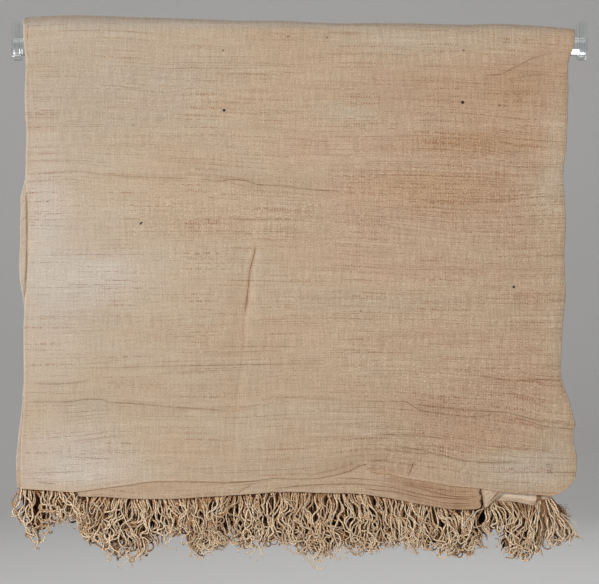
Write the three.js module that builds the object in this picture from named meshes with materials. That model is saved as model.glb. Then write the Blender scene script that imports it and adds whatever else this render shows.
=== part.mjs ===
// A folded linen cloth hanging over a plain clear rod, its fringed end showing below the front.
//
// Millimetres, +Z up. The front of the cloth faces -Y and +X is to the right. The origin is the middle of
// the rod's axis. One sheet goes over the rod three times, back and forth:
//   the fringed end hangs inside at the front, the sheet goes up, over and down the back, turns at the
//   bottom of the back, goes up, over and down the front again, turns at the band's rim, makes one
//   horizontal tuck, and goes up the front as the outer face, over, and down to a plain end at the back.
import * as THREE from 'three';

// ---------------------------------------------------------------- driving sizes
const ROD_R = 9;              // radius of the clear rod
const ROD_LENGTH = 575;       // its ends stop 1 mm inside the brackets' wall faces
const BRACKET_FACE_X = 288.5; // wall face of each end bracket
const BRACKET_T = 7.5;        // thickness of a bracket along X
const BRACKET_W = 26;         // depth of a bracket along Y
const BRACKET_TOP = 24;       // its top above the rod's axis
const BRACKET_BOTTOM = 12.5;  // its bottom below the rod's axis
const PIECE_GAP = 0.3;        // between pieces that touch
const CLOTH_T = 1.0;          // thickness of the sheet
const PITCH = 1.6;            // one layer to the next, centre to centre
const CLEAR = 2.3;            // rod to the innermost layer
const TUCK = 17;              // how far the tuck reaches up behind the outer face
const TUCK_EASE = 80;         // height over which the outer face eases back above the tuck
const BILLOW = 2.4;           // most that the outer face swells forward between its folds
const FRINGE_T = 6;           // depth of the fringe's comb
const TUFTS = 33;             // teeth of the comb
const TUFT_GAP = 1.6;         // between two teeth
const TUFT_TIP = 9;           // width of a tooth at its tip

// The tables are laid out on the front view: x runs to the right and y runs down, in mm, from this corner.
const LAYOUT_X = -299.5;
const LAYOUT_Z = 45;

// One row for each section across the cloth: the outer layer's top over the rod, the lower rim of the outer
// face, the lower rim of the band under it, and the fringed end of the sheet.
const SECTIONS = [
  { x: 20.0, top: 20.0, rim: 489.0, band: 485.0, end: 484.0 },
  { x: 30.0, top: 17.0, rim: 489.6, band: 485.5, end: 484.5 },
  { x: 52.0, top: 15.3, rim: 491.0, band: 486.5, end: 485.0 },
  { x: 76.5, top: 14.6, rim: 492.0, band: 487.0, end: 486.0 },
  { x: 79.0, top: 14.6, rim: 491.6, band: 497.0, end: 486.5 },
  { x: 102.0, top: 15.5, rim: 488.6, band: 497.2, end: 487.5 },
  { x: 130.0, top: 16.5, rim: 485.0, band: 499.1, end: 489.0 },
  { x: 165.0, top: 17.6, rim: 481.3, band: 499.5, end: 490.0 },
  { x: 204.0, top: 18.8, rim: 482.0, band: 497.4, end: 489.0 },
  { x: 238.0, top: 20.2, rim: 482.0, band: 495.3, end: 487.5 },
  { x: 276.0, top: 20.1, rim: 478.3, band: 492.6, end: 486.0 },
  { x: 314.0, top: 22.0, rim: 478.6, band: 493.1, end: 486.5 },
  { x: 345.0, top: 22.8, rim: 472.4, band: 493.6, end: 487.0 },
  { x: 363.0, top: 22.6, rim: 464.0, band: 494.5, end: 488.0 },
  { x: 373.0, top: 22.5, rim: 472.5, band: 496.0, end: 489.0 },
  { x: 405.0, top: 22.8, rim: 478.3, band: 501.5, end: 494.0 },
  { x: 439.0, top: 23.6, rim: 484.0, band: 508.0, end: 500.0 },
  { x: 465.0, top: 24.3, rim: 487.3, band: 510.0, end: 502.0 },
  { x: 479.0, top: 23.9, rim: 488.5, band: 506.5, end: 503.0 },
  { x: 482.5, top: 23.8, rim: 488.8, band: 495.0, end: 503.0 },
  { x: 489.0, top: 23.6, rim: 490.0, band: 507.5, end: 503.0 },
  { x: 497.0, top: 23.4, rim: 491.4, band: 489.0, end: 502.8 },
  { x: 527.0, top: 24.8, rim: 493.8, band: 489.5, end: 505.6 },
  { x: 551.0, top: 26.4, rim: 496.0, band: 490.0, end: 508.0 },
  { x: 565.0, top: 27.8, rim: 491.0, band: 487.0, end: 507.0 },
  { x: 572.0, top: 28.5, rim: 484.5, band: 481.0, end: 506.0 },
  { x: 577.0, top: 29.0, rim: 477.5, band: 475.0, end: 505.0 },
];

// Left and right edges of each layer at the front, by their distance down.
const OUTER_EDGE = [
  { y: 20, left: 21.5, right: 577.5 },
  { y: 45, left: 23.4, right: 574.4 },
  { y: 64, left: 25.3, right: 568.6 },
  { y: 107, left: 24.6, right: 568.3 },
  { y: 134, left: 26.0, right: 567.8 },
  { y: 179, left: 25.2, right: 563.8 },
  { y: 225, left: 26.9, right: 566.2 },
  { y: 255, left: 26.8, right: 564.6 },
  { y: 291, left: 24.9, right: 565.8 },
  { y: 332, left: 23.0, right: 562.8 },
  { y: 373, left: 23.5, right: 561.4 },
  { y: 396, left: 23.3, right: 568.0 },
  { y: 425, left: 21.8, right: 575.7 },
  { y: 443, left: 20.3, right: 574.0 },
  { y: 458, left: 20.1, right: 577.6 },
  { y: 478, left: 20.0, right: 576.0 },
  { y: 500, left: 20.0, right: 575.5 },
];
const UNDER_EDGE = [
  { y: 20, left: 23.5, right: 575.0 },
  { y: 64, left: 27.0, right: 566.0 },
  { y: 179, left: 26.4, right: 561.5 },
  { y: 190, left: 21.2, right: 561.0 },
  { y: 230, left: 19.7, right: 562.5 },
  { y: 271, left: 18.6, right: 561.0 },
  { y: 291, left: 21.2, right: 561.0 },
  { y: 345, left: 25.4, right: 559.5 },
  { y: 392, left: 22.4, right: 560.0 },
  { y: 426, left: 19.0, right: 563.0 },
  { y: 450, left: 16.0, right: 564.0 },
  { y: 466, left: 15.1, right: 563.0 },
  { y: 490, left: 17.0, right: 560.0 },
];
const INNER_EDGE = [
  { y: 20, left: 24.5, right: 574.0 },
  { y: 150, left: 28.0, right: 560.0 },
  { y: 300, left: 26.0, right: 557.0 },
  { y: 400, left: 23.5, right: 556.0 },
  { y: 490, left: 20.5, right: 553.5 },
];
// The same for the three layers at the back, which the front hides.
const BACK_EDGE = [
  { y: 20, left: 22.5, right: 575.5 },
  { y: 64, left: 26.0, right: 567.0 },
  { y: 200, left: 23.0, right: 562.0 },
  { y: 330, left: 26.5, right: 565.0 },
  { y: 470, left: 22.0, right: 559.0 },
];
// Lower ends at the back: the turn of the two inner layers and the plain end of the outer one.
const BACK_ENDS = [
  { x: 20, turn: 478, plain: 447 },
  { x: 110, turn: 483, plain: 452 },
  { x: 240, turn: 480, plain: 450 },
  { x: 390, turn: 486, plain: 457 },
  { x: 500, turn: 482, plain: 455 },
  { x: 577, turn: 476, plain: 449 },
];

// Lowest points of the fringe along its outline, and how far a tuft's tip leans to the right of its root.
const FRINGE = [
  { x: 20, tip: 530, lean: 4 },
  { x: 36, tip: 544, lean: 7 },
  { x: 50, tip: 533, lean: 8 },
  { x: 65, tip: 522, lean: 8 },
  { x: 88, tip: 540, lean: 9 },
  { x: 108, tip: 550, lean: 10 },
  { x: 126, tip: 558, lean: 8 },
  { x: 150, tip: 545, lean: 4 },
  { x: 172, tip: 538, lean: 2 },
  { x: 200, tip: 553, lean: 1 },
  { x: 235, tip: 544, lean: 0 },
  { x: 258, tip: 557, lean: 3 },
  { x: 284, tip: 548, lean: 4 },
  { x: 317, tip: 566, lean: 5 },
  { x: 348, tip: 557, lean: 6 },
  { x: 391, tip: 542, lean: 7 },
  { x: 420, tip: 551, lean: 6 },
  { x: 468, tip: 556, lean: 4 },
  { x: 496, tip: 535, lean: 2 },
  { x: 510, tip: 556, lean: 0 },
  { x: 530, tip: 556, lean: 3 },
  { x: 552, tip: 549, lean: 13 },
];

// ---------------------------------------------------------------- helpers
const lerp = (a, b, t) => a + (b - a) * t;
const smooth = (t) => { const s = Math.min(1, Math.max(0, t)); return s * s * (3 - 2 * s); };

// Value of a named column at v, straight between the rows.
function at(table, key, v, column) {
  const last = table.length - 1;
  if (v <= table[0][key]) return table[0][column];
  for (let i = 0; i < last; i++) {
    const a = table[i], b = table[i + 1];
    if (v <= b[key]) return lerp(a[column], b[column], (v - a[key]) / (b[key] - a[key]));
  }
  return table[last][column];
}

// Where section x of a layer lies at distance y down, with that layer's own left and right edges.
const FIRST_X = SECTIONS[0].x, LAST_X = SECTIONS[SECTIONS.length - 1].x, EDGE_REACH = 70;
function across(edge, x, y) {
  const toLeft = 1 - smooth((x - FIRST_X) / EDGE_REACH), toRight = 1 - smooth((LAST_X - x) / EDGE_REACH);
  return x + (at(edge, 'y', y, 'left') - FIRST_X) * toLeft + (at(edge, 'y', y, 'right') - LAST_X) * toRight;
}

// Soft swell of the hanging layers, from 0 to 1, none at the top.
function swell(x, y) {
  const wave = 0.5 + 0.26 * Math.sin(x / 61 + 0.6) + 0.24 * Math.sin(x / 143 - y / 118 + 1.1);
  return wave * smooth((y - 60) / 150) * (1 - 0.35 * smooth((y - 380) / 80));
}

const half = Math.PI;
const innerR = ROD_R + CLEAR + CLOTH_T / 2;
const midR = innerR + PITCH;
const outerR = midR + PITCH;

// One section of the sheet as a centre line of { x, y, z } points, from the fringed end to the plain end.
function sectionPath(x0) {
  const path = [];
  const put = (edge, depth, down) => path.push({
    x: LAYOUT_X + across(edge, x0, down), y: depth, z: LAYOUT_Z - down,
  });
  const puff = Math.max(0, LAYOUT_Z - at(SECTIONS, 'x', x0, 'top') - CLOTH_T / 2 - outerR);
  const over = (edge, r, share, forward) => {       // over the rod, a half round raised by its share of the puff
    for (let i = 0; i <= 8; i++) {
      const a = half * (forward ? i : 8 - i) / 8;
      put(edge, -r * Math.cos(a), LAYOUT_Z - (r + puff * share) * Math.sin(a));
    }
  };
  const fall = (edge, rows, side, r, swells) => {   // straight rows of one hanging layer
    for (const down of rows) put(edge, side * (r + BILLOW * swells * swell(x0, down)), down);
  };
  const turn = (edge, from, to, down, sign) => {    // a round turn between two layers, at distance down
    const r = Math.abs(to - from) / 2, mid = (from + to) / 2, dir = Math.sign(from - mid);
    for (let i = 0; i <= 3; i++) {
      const a = half * i / 3;
      put(edge, mid + dir * r * Math.cos(a), down - sign * r + sign * r * Math.sin(a));
    }
  };
  const rowsTo = (stop) => [120, 200, 290, 380].concat([lerp(380, stop, 0.6)]);

  const xIn = across(INNER_EDGE, x0, 490), xUnder = across(UNDER_EDGE, x0, 490), xOut = across(OUTER_EDGE, x0, 480);
  const xBack = across(BACK_EDGE, x0, 460);
  const end = at(SECTIONS, 'x', xIn, 'end');
  const band = at(SECTIONS, 'x', xUnder, 'band');
  const rim = at(SECTIONS, 'x', xOut, 'rim');
  const backTurn = at(BACK_ENDS, 'x', xBack, 'turn'), plain = at(BACK_ENDS, 'x', xBack, 'plain');

  // fringed end, up the front inside
  put(INNER_EDGE, -innerR, end);
  fall(INNER_EDGE, rowsTo(end).reverse(), -1, innerR, 0.2);
  over(INNER_EDGE, innerR, 0.35, true);
  // down the back, round its turn and up again
  fall(BACK_EDGE, rowsTo(backTurn), 1, innerR, 0.2);
  turn(BACK_EDGE, innerR, midR, backTurn, 1);
  fall(BACK_EDGE, rowsTo(backTurn).reverse(), 1, midR, 0.5);
  over(UNDER_EDGE, midR, 0.68, false);
  // down the front as the middle layer, round the band's rim
  fall(UNDER_EDGE, [100, 179, 191, 271, 345, 426].concat([lerp(426, band, 0.6)]), -1, midR, 0.5);
  put(UNDER_EDGE, -midR, band - 6);
  turn(UNDER_EDGE, -midR, -outerR, band, 1);
  // the tuck: up behind the outer face, down to its rim, and up as the outer face
  const tuckTop = Math.min(rim, band) - TUCK;
  const returnR = outerR + PITCH, faceR = returnR + PITCH;
  turn(UNDER_EDGE, -outerR, -returnR, tuckTop, -1);
  turn(OUTER_EDGE, -returnR, -faceR, rim, 1);
  put(OUTER_EDGE, -faceR, tuckTop - 4);
  const eased = tuckTop - 4;
  for (const down of [eased - TUCK_EASE * 0.35, eased - TUCK_EASE * 0.7, eased - TUCK_EASE, 330, 291, 250, 225, 179, 134, 90, 64]) {
    const back = smooth((eased - down) / TUCK_EASE);
    put(OUTER_EDGE, -lerp(faceR, outerR + BILLOW * swell(x0, down), back), down);
  }
  over(OUTER_EDGE, outerR, 1, true);
  // down the back to the plain end
  fall(BACK_EDGE, rowsTo(plain), 1, outerR, 1);
  put(BACK_EDGE, outerR, plain);
  return path;
}

// A closed sheet of even thickness on a grid of sections, every section with as many points.
function sheet(sections, thickness) {
  const rows = sections.length, cols = sections[0].length;
  const positions = [], index = [];
  for (const side of [1, -1]) {
    for (const path of sections) {
      for (let j = 0; j < cols; j++) {
        const p = path[j], a = path[Math.max(0, j - 1)], b = path[Math.min(cols - 1, j + 1)];
        const unit = (u, v) => { const l = Math.hypot(v.y - u.y, v.z - u.z) || 1; return [(v.y - u.y) / l, (v.z - u.z) / l]; };
        const before = j > 0 ? unit(a, p) : unit(p, b), after = j < cols - 1 ? unit(p, b) : before;
        let ty = before[0] + after[0], tz = before[1] + after[1];
        const l = Math.hypot(ty, tz); ty /= l; tz /= l;
        const reach = thickness / 2 / Math.max(0.6, ty * before[0] + tz * before[1]);
        positions.push(p.x, p.y - side * tz * reach, p.z + side * ty * reach);
      }
    }
  }
  const id = (side, i, j) => side * rows * cols + i * cols + j;
  const quad = (a, b, c, d) => index.push(a, b, c, a, c, d);
  for (let i = 0; i + 1 < rows; i++) {
    for (let j = 0; j + 1 < cols; j++) {
      quad(id(0, i, j), id(0, i + 1, j), id(0, i + 1, j + 1), id(0, i, j + 1));
      quad(id(1, i, j), id(1, i, j + 1), id(1, i + 1, j + 1), id(1, i + 1, j));
    }
    quad(id(0, i, 0), id(1, i, 0), id(1, i + 1, 0), id(0, i + 1, 0));
    quad(id(0, i, cols - 1), id(0, i + 1, cols - 1), id(1, i + 1, cols - 1), id(1, i, cols - 1));
  }
  for (let j = 0; j + 1 < cols; j++) {
    quad(id(0, 0, j), id(0, 0, j + 1), id(1, 0, j + 1), id(1, 0, j));
    quad(id(0, rows - 1, j), id(1, rows - 1, j), id(1, rows - 1, j + 1), id(0, rows - 1, j + 1));
  }
  const geometry = new THREE.BufferGeometry();
  geometry.setAttribute('position', new THREE.Float32BufferAttribute(positions, 3));
  geometry.setIndex(index);
  geometry.computeVertexNormals();
  return geometry;
}

// ---------------------------------------------------------------- cloth
const sections = SECTIONS.map((row) => sectionPath(row.x));
const clothGeometry = sheet(sections, CLOTH_T);

// ---------------------------------------------------------------- fringe
// A comb along the sheet's inner end: a narrow back that follows the end, and a tapered tooth for each tuft.
function fringeShape() {
  const end = sections.map((path) => path[0]);     // the sheet's end, section by section
  const edgeZ = (x) => {
    for (let i = 0; i + 1 < end.length; i++) {
      if (x <= end[i + 1].x) return lerp(end[i].z, end[i + 1].z, Math.max(0, (x - end[i].x) / (end[i + 1].x - end[i].x)));
    }
    return end[end.length - 1].z;
  };
  const left = end[0].x, right = end[end.length - 1].x, pitch = (right - left) / TUFTS;
  const shape = new THREE.Shape();
  end.forEach((p, i) => (i ? shape.lineTo(p.x, p.z - PIECE_GAP) : shape.moveTo(p.x, p.z - PIECE_GAP)));
  const side = (x, drop) => x + at(FRINGE, 'x', x - LAYOUT_X, 'lean') * drop / 55;   // the line that a gap follows
  for (let i = TUFTS - 1; i >= 0; i--) {
    const a = left + i * pitch, b = a + pitch, mid = (a + b) / 2;
    const tip = LAYOUT_Z - at(FRINGE, 'x', side(mid, 50) - LAYOUT_X, 'tip') + [0, 2.5, -1][i % 3];
    const rootB = edgeZ(b) - 5, rootA = edgeZ(a) - 5, shoulder = tip + 6;
    const gapB = i === TUFTS - 1 ? 0 : TUFT_GAP / 2, gapA = i === 0 ? 0 : TUFT_GAP / 2;
    shape.lineTo(b - gapB, rootB);
    shape.lineTo(side(b, rootB - shoulder) - gapB, shoulder);
    shape.lineTo(side(mid, rootB - tip) + TUFT_TIP / 2, tip + 1.5);
    shape.lineTo(side(mid, rootB - tip) - TUFT_TIP / 2, tip);
    shape.lineTo(side(a, rootA - shoulder) + gapA, shoulder);
    shape.lineTo(a + gapA, rootA);
  }
  shape.closePath();
  return shape;
}
const fringeGeometry = new THREE.ExtrudeGeometry(fringeShape(), { depth: FRINGE_T, bevelEnabled: false, steps: 1 });
fringeGeometry.rotateX(Math.PI / 2);   // drawn upright: the shape's second axis becomes Z, its depth runs to -Y

// ---------------------------------------------------------------- rod and end brackets
const rodGeometry = new THREE.CylinderGeometry(ROD_R, ROD_R, ROD_LENGTH, 32, 1);
rodGeometry.rotateZ(Math.PI / 2);

// A plate with a round-bottomed slot, open at the top, that the rod drops into.
function bracketShape() {
  const r = (ROD_R + PIECE_GAP) / Math.cos(Math.PI / 32), w = BRACKET_W / 2, corner = 5;
  const shape = new THREE.Shape();
  shape.moveTo(-w, BRACKET_TOP);
  shape.lineTo(-w, -BRACKET_BOTTOM + corner);
  shape.lineTo(-w + corner * 0.3, -BRACKET_BOTTOM + corner * 0.3);
  shape.lineTo(-w + corner, -BRACKET_BOTTOM);
  shape.lineTo(w - corner, -BRACKET_BOTTOM);
  shape.lineTo(w - corner * 0.3, -BRACKET_BOTTOM + corner * 0.3);
  shape.lineTo(w, -BRACKET_BOTTOM + corner);
  shape.lineTo(w, BRACKET_TOP);
  shape.lineTo(r, BRACKET_TOP);
  for (let i = 0; i <= 16; i++) shape.lineTo(r * Math.cos(Math.PI * i / 16), -r * Math.sin(Math.PI * i / 16));
  shape.lineTo(-r, BRACKET_TOP);
  shape.closePath();
  return shape;
}
function bracketGeometry() {
  const g = new THREE.ExtrudeGeometry(bracketShape(), { depth: BRACKET_T, bevelEnabled: false, steps: 1 });
  g.rotateX(Math.PI / 2);
  g.rotateZ(Math.PI / 2);               // the plate stands across X, its thickness from 0 to BRACKET_T
  return g;
}

// ---------------------------------------------------------------- the group
const linen = new THREE.MeshStandardMaterial({ color: 0xbfa98f, roughness: 0.92, metalness: 0 });
const cords = new THREE.MeshStandardMaterial({ color: 0xc9ab86, roughness: 0.94, metalness: 0 });
const clear = () => new THREE.MeshStandardMaterial({ color: 0xdfe6e8, roughness: 0.06, metalness: 0, transparent: true, opacity: 0.35 });

const part = new THREE.Group();
const add = (name, geometry, material, x = 0, y = 0, z = 0) => {
  const mesh = new THREE.Mesh(geometry, material);
  mesh.name = name;
  mesh.position.set(x, y, z);
  part.add(mesh);
};
add('cloth', clothGeometry, linen);
add('fringe', fringeGeometry, cords, 0, -(innerR + CLOTH_T / 2) + FRINGE_T, 0);
add('rod', rodGeometry, clear());
add('bracket_left', bracketGeometry(), clear(), -BRACKET_FACE_X, 0, 0);
add('bracket_right', bracketGeometry(), clear(), BRACKET_FACE_X - BRACKET_T, 0, 0);

export default part;
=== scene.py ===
# A folded linen cloth with a cord fringe, hanging over a clear rod between two end brackets.
import math

import bpy
import numpy as np
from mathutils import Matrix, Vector


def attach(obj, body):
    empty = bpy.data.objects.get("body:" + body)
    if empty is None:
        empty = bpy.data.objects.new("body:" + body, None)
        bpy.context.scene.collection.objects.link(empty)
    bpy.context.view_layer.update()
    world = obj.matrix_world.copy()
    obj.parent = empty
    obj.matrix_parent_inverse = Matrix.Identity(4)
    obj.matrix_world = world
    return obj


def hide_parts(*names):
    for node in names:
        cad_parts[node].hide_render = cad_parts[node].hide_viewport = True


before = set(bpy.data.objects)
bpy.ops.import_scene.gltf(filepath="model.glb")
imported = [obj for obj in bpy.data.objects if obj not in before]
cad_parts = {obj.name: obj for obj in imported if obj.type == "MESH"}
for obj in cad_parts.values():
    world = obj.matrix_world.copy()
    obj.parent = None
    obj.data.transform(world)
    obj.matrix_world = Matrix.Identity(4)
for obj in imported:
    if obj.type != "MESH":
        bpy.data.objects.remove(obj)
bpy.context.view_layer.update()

# ---------------------------------------------------------------- layout
# Tables are laid out on the front view in millimetres: x to the right, y down.
LX, LZ = -299.5, 45.0
SEED = 4171

ROD_R, CLEAR, BILLOW = 9.0, 2.3, 2.4
SHEET_T = 0.45                     # thickness of the modelled linen
IN_R = ROD_R + CLEAR + 0.5         # centre lines of the layers, from the rod's axis
MID_R = IN_R + 1.4
OUT_R = MID_R + 1.6
TUCK_R = MID_R + 1.0               # the band, which turns up in front of the middle layer
RETURN_R = TUCK_R + 0.64
FACE_R = RETURN_R + 0.64
TUCK, TUCK_EASE = 17.0, 80.0

TOP_ROWS = [  # x, top of the outer layer over the rod
    (20, 16.1), (24, 14.4), (30, 13.7), (52, 12.8), (76, 12.1), (102, 13.0), (130, 14.0), (165, 15.1), (204, 16.3),
    (238, 17.7), (276, 17.6), (314, 19.5), (345, 20.3), (363, 20.1), (405, 20.3), (439, 21.1), (465, 21.8),
    (497, 20.9), (527, 22.3), (551, 23.9), (565, 25.3), (577, 26.5),
]
RIM_ROWS = [  # x, lower rim of the outer face
    (20, 489.0), (30, 489.6), (52, 491.0), (70, 492.2), (79, 491.8), (88, 490.6), (102, 488.6), (116, 486.7),
    (130, 485.0), (143, 482.6), (155, 481.6), (165, 481.3), (185, 482.0), (204, 482.0), (222, 482.6), (238, 482.0),
    (255, 480.6), (276, 478.3), (295, 478.9), (314, 478.6), (330, 475.9), (345, 472.4), (356, 467.6), (363, 464.6),
    (366.5, 464.0), (368.5, 469.6), (373, 472.6), (380, 473.4), (389, 474.4), (405, 478.3), (414, 480.0),
    (425, 481.6), (439, 484.0), (452, 486.3), (465, 487.3), (479, 488.5), (489, 490.0), (497, 491.4),
    (512, 492.7), (527, 493.8), (540, 495.2), (551, 496.0), (558, 494.6), (565, 490.6), (572, 484.0), (577, 475.5),
]
BAND_ROWS = [  # x, lower rim of the band under the outer face
    (14, 487.6), (20, 488.2), (30, 488.0), (52, 488.4), (74, 488.6), (76.8, 489.0), (77.6, 495.8), (80, 496.9), (102, 497.2),
    (116, 498.3), (130, 499.1), (148, 499.6), (165, 499.5), (185, 498.8), (204, 497.4), (222, 496.4), (238, 495.3),
    (258, 494.0), (276, 492.6), (295, 492.5), (314, 493.1), (330, 493.5), (345, 493.6), (363, 494.5), (373, 496.0),
    (389, 498.4), (405, 501.5), (422, 505.0), (439, 508.0), (452, 509.6), (465, 510.0), (474, 509.8), (479, 509.0),
    (481.0, 507.8), (481.9, 503.0), (482.5, 497.5), (483.1, 499.5), (484.0, 504.5), (485.2, 507.4), (487.5, 507.6),
    (489.5, 505.6), (494, 501.2), (500, 496.0), (505, 491.6), (510, 488.0), (527, 487.5), (551, 487.0),
    (565, 485.0), (577, 475.0),
]
END_ROWS = [  # x, fringed end of the sheet
    (20, 484.0), (52, 485.0), (79, 486.5), (102, 489.0), (130, 490.5), (165, 491.0), (204, 489.5), (238, 487.5),
    (276, 485.5), (314, 486.0), (345, 486.5), (373, 488.5), (405, 493.0), (439, 499.5), (465, 502.0), (489, 502.6),
    (497, 502.7), (506, 503.0), (515, 503.5), (524, 505.2), (531, 506.6), (535, 507.0), (537.0, 505.6),
    (538.4, 502.8), (541, 502.2), (543, 501.4), (545, 501.0), (549, 500.6), (553, 500.0), (565, 499.0), (577, 497.0),
]
OUTER_EDGE = [  # y, left, right
    (20, 21.5, 577.5), (45, 23.4, 574.4), (64, 25.3, 568.6), (85, 24.4, 568.9), (107, 24.6, 568.3), (134, 26.0, 567.8),
    (160, 25.2, 565.0), (179, 25.2, 563.8), (200, 26.4, 565.4), (225, 26.9, 566.2), (255, 26.8, 564.6),
    (291, 24.9, 565.8), (332, 23.0, 562.8), (373, 23.5, 561.4), (380, 23.4, 562.4), (396, 23.3, 568.0),
    (412, 22.6, 572.6), (425, 21.8, 575.7), (434, 21.0, 574.2), (443, 20.3, 574.0), (458, 20.1, 577.6),
    (478, 20.0, 576.0), (500, 20.0, 575.5),
]
UNDER_EDGE = [
    (20, 23.5, 575.0), (64, 27.0, 566.0), (150, 27.6, 562.0), (176, 26.8, 561.5), (186, 22.0, 561.0), (196, 20.2, 561.0),
    (230, 19.7, 562.5), (271, 18.6, 561.0), (291, 21.2, 561.0), (318, 24.6, 560.0), (345, 25.4, 559.5),
    (392, 22.4, 560.0), (426, 19.0, 563.0), (450, 16.0, 564.0), (466, 15.1, 563.0), (490, 17.0, 560.0),
]
INNER_EDGE = [(20, 24.5, 574.0), (150, 28.0, 560.0), (300, 26.0, 557.0), (400, 23.5, 556.0), (490, 20.5, 553.5)]
BACK_EDGE = [(20, 22.5, 575.5), (64, 26.0, 567.0), (200, 23.0, 562.0), (330, 26.5, 565.0), (470, 22.0, 559.0)]
BACK_TURN = [(20, 478), (110, 483), (240, 480), (390, 486), (500, 482), (577, 476)]
BACK_PLAIN = [(20, 447), (110, 452), (240, 450), (390, 457), (500, 455), (577, 449)]

# How the weft runs: each row is one weft thread's height along x, named by its height in the middle.
GRAIN = [
    (20, [(20, 19), (76, 15), (120, 16.5), (220, 19.5), (320, 22), (420, 23), (520, 25), (577, 29)]),
    (90, [(20, 86), (110, 87), (170, 91), (220, 90), (320, 91), (420, 92), (520, 95), (577, 98)]),
    (140, [(20, 134), (120, 133), (220, 136), (320, 141), (420, 140), (480, 144), (520, 151), (577, 153)]),
    (187, [(20, 174), (76, 171), (107, 175), (191, 178), (257, 184.5), (320, 190), (420, 194), (500, 196), (550, 193), (577, 192)]),
    (221, [(20, 218), (120, 219), (250, 219), (321, 221), (391, 225), (466, 232), (577, 231)]),
    (265, [(20, 261), (120, 262), (220, 262), (329, 265), (395, 269), (472, 270), (577, 270)]),
    (320, [(20, 322), (120, 321), (220, 319), (329, 319), (420, 321), (500, 323), (577, 322)]),
    (364, [(20, 371), (107, 368), (203, 364), (300, 363), (400, 361), (500, 365), (577, 366)]),
    (400, [(20, 402), (65, 402), (103, 400), (170, 404), (230, 405), (300, 399), (380, 401.5), (411, 405), (445, 408.5), (480, 411), (520, 416), (548, 424), (577, 427)]),
    (437, [(20, 444), (75, 441), (112, 437), (220, 437), (338, 437), (380, 435), (430, 437), (455, 441), (495, 448), (577, 454)]),
    (460, [(20, 463), (75, 460), (112, 458), (220, 460), (320, 460), (380, 455), (430, 459), (460, 465), (495, 470), (577, 470)]),
    (482, [(20, 490), (60, 490), (102, 487), (165, 480), (238, 480), (314, 476), (350, 468), (373, 471), (405, 477), (439, 482), (497, 490), (551, 494), (577, 492)]),
]

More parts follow.
